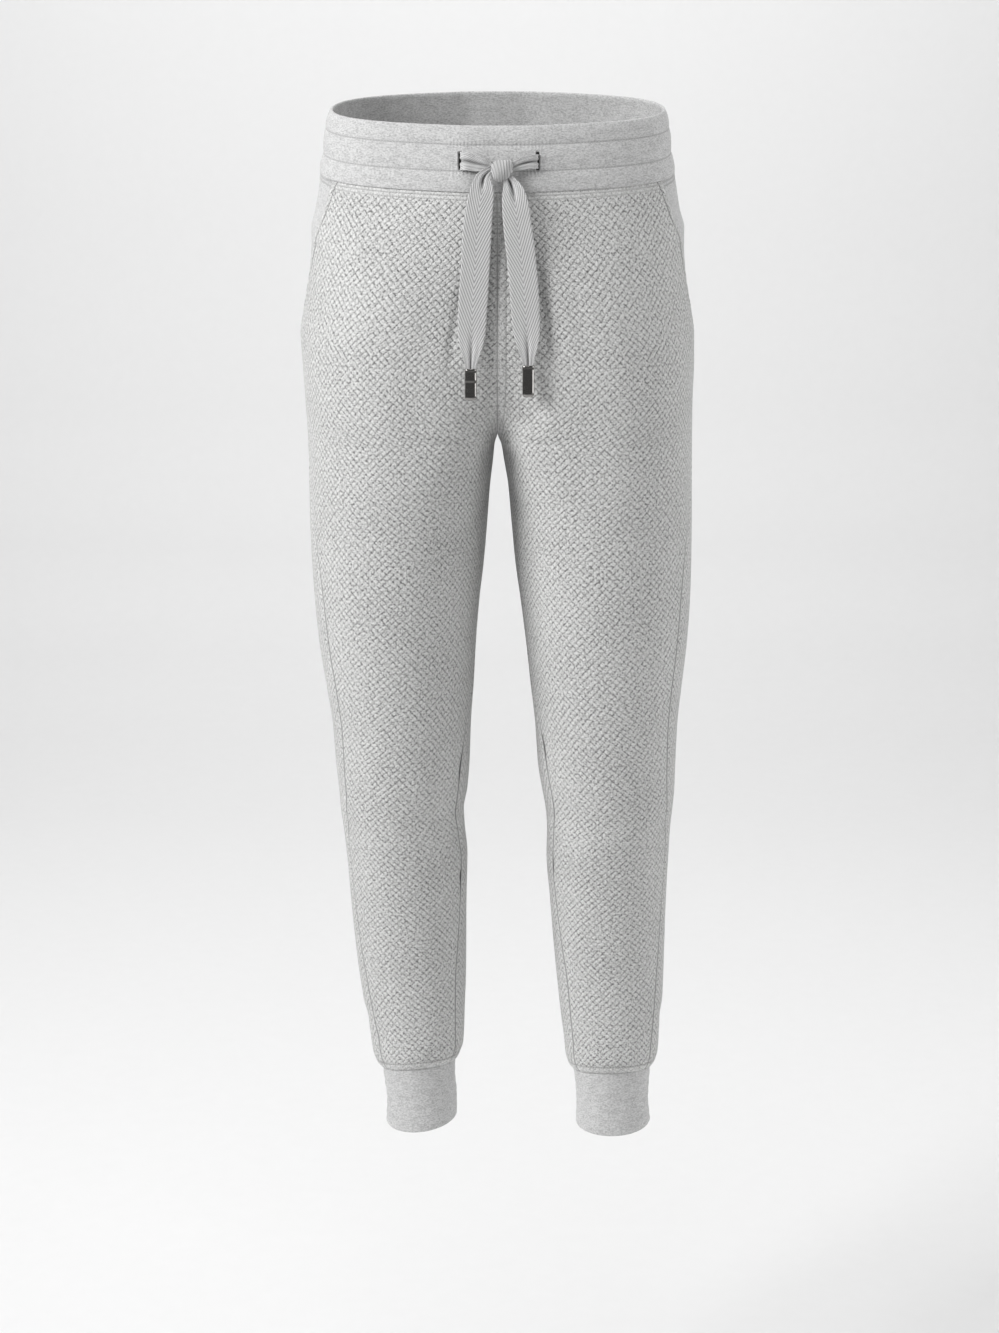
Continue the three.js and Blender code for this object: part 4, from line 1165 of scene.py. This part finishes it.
class Shader:
    """One material's nodes."""

    def __init__(self, name):
        self.material = bpy.data.materials.new(name)
        self.material.use_nodes = True
        self.tree = self.material.node_tree
        self.tree.nodes.clear()

    def node(self, kind, settings, sockets, output=0):
        made = self.tree.nodes.new(kind)
        for key, value in settings.items():
            setattr(made, key, value)
        for key, value in sockets.items():
            socket = made.inputs[key]
            if isinstance(value, Value):
                self.tree.links.new(value.socket, socket)
            elif socket.type == "RGBA":
                socket.default_value = (*value, 1.0)
            else:
                socket.default_value = value
        return Value(self, made.outputs[output]) if made.outputs else None

    def uv(self):
        vector = self.node("ShaderNodeUVMap", {"uv_map": "cloth"}, {})
        return vector, *(self.node("ShaderNodeSeparateXYZ", {}, {0: vector}, axis) for axis in (0, 1))

    def object_place(self):
        return self.node("ShaderNodeTexCoord", {}, {}, "Object")

    def attribute(self, name):
        return self.node("ShaderNodeAttribute", {"attribute_name": name}, {}, "Fac")

    def line(self, name, place):
        """1 where a distance attribute is at a place, and 0 from a thread's width away."""
        return 1.0 - (self.attribute(name) - place).absolute().mapped(0.0003, 0.0010)

    def stretched(self, vector, scale):
        return self.node("ShaderNodeMapping", {}, {"Vector": vector, "Scale": scale})

    def noise(self, vector, scale, detail=2.0, roughness=0.5):
        return self.node("ShaderNodeTexNoise", {"noise_dimensions": "3D"}, {
            "Vector": vector, "Scale": scale, "Detail": detail, "Roughness": roughness})

    def mix(self, share, first, second):
        return self.node("ShaderNodeMix", {"data_type": "RGBA"}, {0: share, 6: first, 7: second}, 2)

    def bump(self, height, distance, normal=None):
        sockets = {"Height": height, "Strength": 1.0, "Distance": distance}
        if normal is not None:
            sockets["Normal"] = normal
        return self.node("ShaderNodeBump", {}, sockets)

    def surface(self, sockets):
        shader = self.node("ShaderNodeBsdfPrincipled", {}, sockets)
        self.node("ShaderNodeOutputMaterial", {}, {"Surface": shader})
        return self.material


def knit_material(cloth, sewing):
    """Raised cells between two sets of diagonal grooves that break up from cell to cell, with painted shade
    in the grooves and more painted shade where they cross.

    Each set is the sine of a diagonal place, and its strength wanders with a noise of about a cell's size.
    Lines of sewing and seams are darkened where the distance to them is near none: painted shade in the
    dents of the stitches and in the seams, where the cloth rolls in.
    """
    shader = Shader("quilted_knit")
    vector, u, v = shader.uv()
    wander_u = (shader.noise(vector, 150.0) - 0.5) * 0.0026
    wander_v = (shader.noise(vector, 117.0) - 0.5) * 0.0026
    patch = shader.noise(vector, 30.0, 1.0)
    whole, broken = [], []
    for diagonal, cells, patches in (
        (u + v + wander_u, 215.0, (0.3, 0.6, 0.8, 1.0)),
        (u - v + wander_v, 185.0, (0.4, 0.7, 0.9, 0.7)),
    ):
        strength = shader.noise(vector, cells).mapped(0.34, 0.64, 0.5, 1.0) * patch.mapped(*patches)
        whole.append(1.0 - (diagonal * (np.pi / cloth.lattice)).sine().absolute().mapped(0.0, 0.85))
        broken.append(whole[-1] * strength)
    raised = 1.0 - shader.attribute("pressed") * 0.75
    groove = broken[0].larger(broken[1]) * raised
    pit = whole[0] * whole[1] * raised
    fibre = shader.noise(vector, 540.0, 3.0, 0.75)
    heather = shader.noise(shader.stretched(vector, (200.0, 290.0, 1.0)), 1.0, 3.0, 0.6).mapped(0.36, 0.68)
    cloud = shader.noise(vector, 14.0, 2.0).mapped(0.3, 0.7)
    # Painted shade along the lines of sewing, in the dents of the stitches, and along the seams
    first_row, second_row = (shader.line("from_waist", row) for row in COVER_ROWS)
    line = (first_row.larger(second_row) * 0.45).larger(shader.line("from_hem", sewing.hem_margin))
    line = line.larger(shader.line("from_centre", 0.0) * 0.8)
    seam = 1.0 - shader.attribute("from_seam").mapped(0.0003, 0.0016)
    speck = fibre.mapped(0.32, 0.68)
    # The grooves and their crossings are painted shade; heather, specks and cloud are the yarn's own uneven
    # tone
    dark = groove * (0.16 + speck * 0.62) + pit * speck * 0.46 + heather * 0.26
    dark = (dark + speck * 0.64 + cloud * 0.08 - 0.30).clamped()
    shade = dark.larger(line * 0.75).larger(shader.line("from_mouth", 0.0) * 0.95).larger(seam * 0.8)
    height = (1.0 - groove) * 0.7 - pit * 0.3 + fibre * 0.25
    return shader.surface({
        "Base Color": shader.mix(shade, cloth.knit_light, cloth.knit_dark),
        "Roughness": 0.92, "Specular IOR Level": 0.15,
        "Sheen Weight": 0.25, "Sheen Roughness": 0.5,
        "Normal": shader.bump(height, cloth.relief),
    })


def jersey_material(cloth):
    """Smooth jersey with fine uneven streaks along its rows, and small dark specks; painted near-black shade
    inside the buttonhole slits.
    """
    shader = Shader("heather_jersey")
    vector, _, _ = shader.uv()
    streaks = shader.noise(shader.stretched(vector, (330.0, 900.0, 1.0)), 1.0, 3.0, 0.6).mapped(0.34, 0.68)
    broad = shader.noise(shader.stretched(vector, (90.0, 190.0, 1.0)), 1.0, 2.0).mapped(0.35, 0.68)
    fibre = shader.noise(vector, 560.0, 3.0, 0.7)
    # Painted shade: the jersey goes to near black inside each buttonhole slit
    slit = shader.attribute("tint")
    dark = (streaks * 0.58 + broad * 0.22 + (fibre - 0.5) * 1.7 - 0.08).clamped()
    # Painted shade along the stitched rows, where the thread pulls the jersey in
    shade = dark.larger(slit).larger(shader.line("sewn", 0.0) * 0.8)
    base = shader.mix(shade, cloth.jersey_light, cloth.jersey_dark)
    return shader.surface({
        "Base Color": shader.mix(slit.mapped(0.2, 0.9), base, (0.05, 0.05, 0.05)),
        "Roughness": 0.9, "Specular IOR Level": 0.15, "Sheen Weight": 0.2, "Sheen Roughness": 0.5,
        "Normal": shader.bump(fibre * 0.6 + streaks * 0.4, 0.00018),
    })


def tape_material(string, centre_line=True):
    """Herringbone: twill lines that rise from the middle of the tape to both of its edges."""
    shader = Shader("herringbone_tape" if centre_line else "drawn_tape")
    vector, u, v = shader.uv()
    away = u.absolute() if centre_line else u
    line = ((v + away * 2.3) * (np.pi / string.twill)).sine().absolute()
    twill = line.mapped(0.12, 0.8)
    fibre = shader.noise(vector, 1700.0, 3.0, 0.6)
    light = (twill * 0.68 + (fibre - 0.5) * 0.6 + 0.22).clamped()
    if not centre_line:
        pull = (u * (np.pi / 0.0026)).sine().absolute().mapped(0.05, 0.75)
        light = (pull * 0.50 + (fibre - 0.5) * 0.6 + 0.22).clamped()
    # Painted shade in the creases of the tape, and painted light beside them, from the attribute fold
    light = light * (1.0 - shader.attribute("fold") * 0.85)
    return shader.surface({
        "Base Color": shader.mix(light, string.tape_dark, string.tape_light),
        "Roughness": 0.8, "Specular IOR Level": 0.2, "Sheen Weight": 0.15, "Sheen Roughness": 0.4,
        "Normal": shader.bump(light, 0.00035),
    })


def thread_material(sewing):
    """Twisted thread, a little brighter along its ply."""
    shader = Shader("sewing_thread")
    ply = shader.noise(shader.object_place(), 2600.0, 2.0)
    shaded = [0.75 * channel for channel in sewing.thread]
    return shader.surface({
        "Base Color": shader.mix(ply.mapped(0.3, 0.7), sewing.thread, shaded),
        "Roughness": 0.6, "Specular IOR Level": 0.3,
        "Normal": shader.bump(ply, 0.0001),
    })


def metal_material(string):
    """Polished dark nickel, a little duller where it has been handled."""
    shader = Shader("dark_nickel")
    worn = shader.noise(shader.object_place(), 160.0, 2.0)
    return shader.surface({
        "Base Color": string.metal, "Metallic": 1.0, "Roughness": worn.mapped(0.3, 0.7, 0.05, 0.12),
    })


def stage_material():
    """Pale matt paper with a faint grain."""
    shader = Shader("pale_paper")
    grain = shader.noise(shader.object_place(), 40.0, 2.0)
    return shader.surface({
        "Base Color": shader.mix(grain, (0.86, 0.86, 0.86), (0.88, 0.88, 0.88)), "Roughness": 0.95,
        "Specular IOR Level": 0.1,
    })


def once(name, make, *settings):
    """The material of that name, made on first use."""
    return bpy.data.materials.get(name) or make(*settings)


# Studio: the paper's outline from the side as ways back and up, and each light's place, aim and size
PAPER_REACH = 7.0
PAPER_PROFILE = np.array([
    (-PAPER_REACH, 0.0), (2.6, 0.0), (3.1, 0.03), (3.5, 0.14),
    (3.8, 0.36), (3.95, 0.7), (4.0, 1.2), (4.0, 6.0),
])
LIGHTS = {
    "key": ((-2.4, -1.5, 1.1), (0.0, 0.0, -0.50), 1.4),
    "fill": ((2.5, -0.7, 0.4), (0.0, 0.0, -0.60), 2.2),
    "top": ((-0.3, -0.9, 2.4), (0.0, 0.0, -0.4), 1.4),
    "paper": ((0.0, 1.5, 2.6), (0.0, 4.0, 0.3), 3.2),
}
CAMERA_ASIDE = 0.002
CAMERA_HEIGHT = -0.02
SENSOR_HEIGHT = 36.0


class JOGGERS_OT_stage(bpy.types.Operator):
    """Puts up the camera, the paper floor and the studio lights"""

    bl_idname = "joggers.stage"
    bl_label = "Stage"

    def execute(self, context):
        stage = context.scene.jogger_stage
        camera = bpy.data.cameras.new("camera")
        camera.sensor_fit = "VERTICAL"
        camera.sensor_height = SENSOR_HEIGHT
        camera.lens = stage.lens
        camera.clip_end = 50.0
        viewer = bpy.data.objects.new("camera", camera)
        viewer.location = (CAMERA_ASIDE, -stage.distance, CAMERA_HEIGHT)
        viewer.rotation_euler = (stage.pitch, 0.0, 0.0)
        context.scene.collection.objects.link(viewer)
        context.scene.camera = viewer

        x = np.linspace(-PAPER_REACH, PAPER_REACH, 8)[None, :]
        back, up = PAPER_PROFILE[:, :1], PAPER_PROFILE[:, 1:]
        points = np.stack(np.broadcast_arrays(x, back, up + stage.floor), axis=-1)
        i, j = grid_corners(*points.shape[:2])
        paper = put_mesh("paper", points.reshape(-1, 3), (i * points.shape[1] + j)[:, ::-1])
        paper.data.materials.append(stage_material())

        for name, (place, aim, size) in LIGHTS.items():
            light = bpy.data.lights.new(name, "AREA")
            light.shape = "SQUARE"
            light.size = size
            light.energy = getattr(stage, f"{name}_power")
            lamp = bpy.data.objects.new(name, light)
            lamp.location = place
            x, y, z = np.subtract(aim, place)
            lamp.rotation_euler = (np.arctan2(np.hypot(x, y), -z), 0.0, np.arctan2(x, -y) + np.pi)
            context.scene.collection.objects.link(lamp)

        world = bpy.data.worlds.new("room")
        world.use_nodes = True
        background = world.node_tree.nodes["Background"]
        background.inputs["Color"].default_value = (1.0, 1.0, 1.0, 1.0)
        background.inputs["Strength"].default_value = stage.world
        context.scene.world = world
        context.scene.view_settings.view_transform = "Standard"
        return {"FINISHED"}


class JOGGERS_OT_drawstring(bpy.types.Operator):
    """Lays both ends of the drawstring, ties the knot and sets the metal tips"""

    bl_idname = "joggers.drawstring"
    bl_label = "Drawstring"

    def execute(self, context):
        string = context.scene.jogger_string
        tape, metal = tape_material(string), metal_material(string)
        bow = dress(knot(), tape_material(string, False), "tape", "knot")
        for side in SIDES:
            end = dress(tip(side), metal, "tip_metal", f"tip_{side}")
            piece, path = drawstring(side)
            dress(piece, tape, "tape", f"lead_{side}", f"tail_{side}")
        return {"FINISHED"}


class JOGGERS_OT_legs(bpy.types.Operator):
    """Cuts and sews the four knitted leg panels"""

    bl_idname = "joggers.legs"
    bl_label = "Leg Panels"

    def execute(self, context):
        sewing = context.scene.jogger_sewing
        knit = knit_material(context.scene.jogger_cloth, sewing)
        for side in SIDES:
            for which, start_at, end_at, seams in (
                ("front", inseam, front_edge, {"on_rise_seam": "start", "mouth_edge": True}),
                ("back", side_seam, inseam_again, {"on_rise_seam": "end"}),
            ):
                name = f"{which}_{side}"
                piece = leg_panel(f"{name}_dressed", side, start_at, end_at, sewing,
                                  centre=side == "left", **seams)
                dress(piece, knit, "knit", name)
        return {"FINISHED"}


class JOGGERS_OT_facings(bpy.types.Operator):
    """Sets the jersey facing behind each pocket mouth"""

    bl_idname = "joggers.facings"
    bl_label = "Pocket Facings"

    def execute(self, context):
        jersey = once("heather_jersey", jersey_material, context.scene.jogger_cloth)
        for side in SIDES:
            piece = dress(pocket_facing(side), jersey, "jersey", f"pocket_facing_{side}")
        return {"FINISHED"}


class JOGGERS_OT_waistband(bpy.types.Operator):
    """Folds the jersey band round its elastic and works the buttonholes"""

    bl_idname = "joggers.waistband"
    bl_label = "Waistband"

    def execute(self, context):
        jersey = once("heather_jersey", jersey_material, context.scene.jogger_cloth)
        piece = dress(waistband(), jersey, "jersey", "waistband")
        return {"FINISHED"}


class JOGGERS_OT_cuffs(bpy.types.Operator):
    """Sews a folded jersey cuff to each hem"""

    bl_idname = "joggers.cuffs"
    bl_label = "Cuffs"

    def execute(self, context):
        jersey = once("heather_jersey", jersey_material, context.scene.jogger_cloth)
        for side in SIDES:
            piece = dress(cuff(side), jersey, "jersey", f"cuff_{side}")
        return {"FINISHED"}


# Top and foot of each line of thread, for a bar tack also its distance from the edge of the mouth
MOUTH_LINE = (WAIST_SEAM - 0.009, POCKET_END + 0.001)
CENTRE_LINE = (WAIST_SEAM - 0.0085, -0.288)
BAR_TACKS = ((-0.0655, -0.0725, 0.0112), (POCKET_END + 0.004, POCKET_END - 0.002, 0.002))
# A turn beside the centre seam from which distances round the leg can be measured
OFF_CENTRE = 0.02
# How deep under the skin each thread runs
BAND_THREAD = BAND_INSET - 0.0001
HEM_THREAD = 0.0002
MOUTH_THREAD = 0.0002
BAR_THREAD = -0.0002
CENTRE_THREAD = 0.0003


class JOGGERS_OT_sewing(bpy.types.Operator):
    """Runs the topstitching, the coverstitch, the band stitching and the bar tacks"""

    bl_idname = "joggers.sewing"
    bl_label = "Stitching"

    def execute(self, context):
        sewing = context.scene.jogger_sewing
        thread = thread_material(sewing)
        band, cover, hems, mouths, centres, bars = [], [], [], [], [], []
        for side in SIDES:
            for row in BAND_STITCH_ROWS:
                band.append(round_run(side, BAND_TOP - row, BAND_THREAD))
            for row in COVER_ROWS:
                cover.append(round_run(side, WAIST_SEAM - row, seam_depth))
            hems.append(round_run(side, HEM_SEAM + sewing.hem_margin, HEM_THREAD))
            z = np.linspace(*MOUTH_LINE, 120)
            turn = shift_turn(side, mouth(z), z, -sewing.mouth_margin)
            mouths.append(skin_run(side, turn, z, MOUTH_THREAD))
            for top, bottom, margin in BAR_TACKS:
                z = np.linspace(top, bottom, 12)
                turn = shift_turn(side, front_edge(z), z, -margin)
                bars.append(skin_run(side, turn, z, BAR_THREAD))
        for centre_turn, way in ((0.0, 1), (4.0, -1)):
            z = np.linspace(*CENTRE_LINE, 150)
            beside = np.full_like(z, centre_turn + way * OFF_CENTRE)
            turn = shift_turn("left", beside, z, way * CENTRE_MARGIN) - way * OFF_CENTRE
            centres.append(skin_run("left", turn, z, CENTRE_THREAD))
        for name, runs in (
            ("band_stitches", band), ("cover_stitches", cover), ("hem_stitches", hems),
            ("mouth_stitches", mouths), ("centre_stitches", centres), ("bar_tacks", bars),
        ):
            pitch = sewing.pitch * (0.5 if runs is bars else 1)
            dress(stitches(name, runs, pitch, sewing.radius), thread, "jersey")
        return {"FINISHED"}


class JOGGERS_PT_panel(bpy.types.Panel):
    """Lists the pieces in the order in which they are made"""

    bl_idname = "JOGGERS_PT_panel"
    bl_label = "Jogger Sweatpants"
    bl_space_type = "VIEW_3D"
    bl_region_type = "UI"
    bl_category = "Joggers"

    def draw(self, context):
        for operator in OPERATORS:
            self.layout.operator(operator.bl_idname)
        for name, settings in SETTINGS.items():
            box = self.layout.box()
            group = getattr(context.scene, name)
            for key in settings.__annotations__:
                box.prop(group, key)


OPERATORS = (
    JOGGERS_OT_stage, JOGGERS_OT_drawstring, JOGGERS_OT_waistband, JOGGERS_OT_legs,
    JOGGERS_OT_facings, JOGGERS_OT_cuffs, JOGGERS_OT_sewing,
)
SETTINGS = {
    "jogger_cloth": JoggerClothSettings, "jogger_sewing": JoggerSewingSettings,
    "jogger_string": JoggerStringSettings, "jogger_stage": JoggerStageSettings,
}


def register():
    """Registers the settings, the operators and the panel."""
    for settings in SETTINGS.values():
        bpy.utils.register_class(settings)
    for name, settings in SETTINGS.items():
        setattr(bpy.types.Scene, name, bpy.props.PointerProperty(type=settings))
    for made in (*OPERATORS, JOGGERS_PT_panel):
        bpy.utils.register_class(made)


def unregister():
    """Takes away what register added, in turn from the last."""
    for made in (JOGGERS_PT_panel, *reversed(OPERATORS)):
        bpy.utils.unregister_class(made)
    for name, settings in reversed(SETTINGS.items()):
        delattr(bpy.types.Scene, name)
        bpy.utils.unregister_class(settings)


def main():
    """Calls every operator in order."""
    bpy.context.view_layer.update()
    register()
    for operator in OPERATORS:
        group, name = operator.bl_idname.split(".")
        getattr(getattr(bpy.ops, group), name)()


if __name__ == "__main__":
    main()
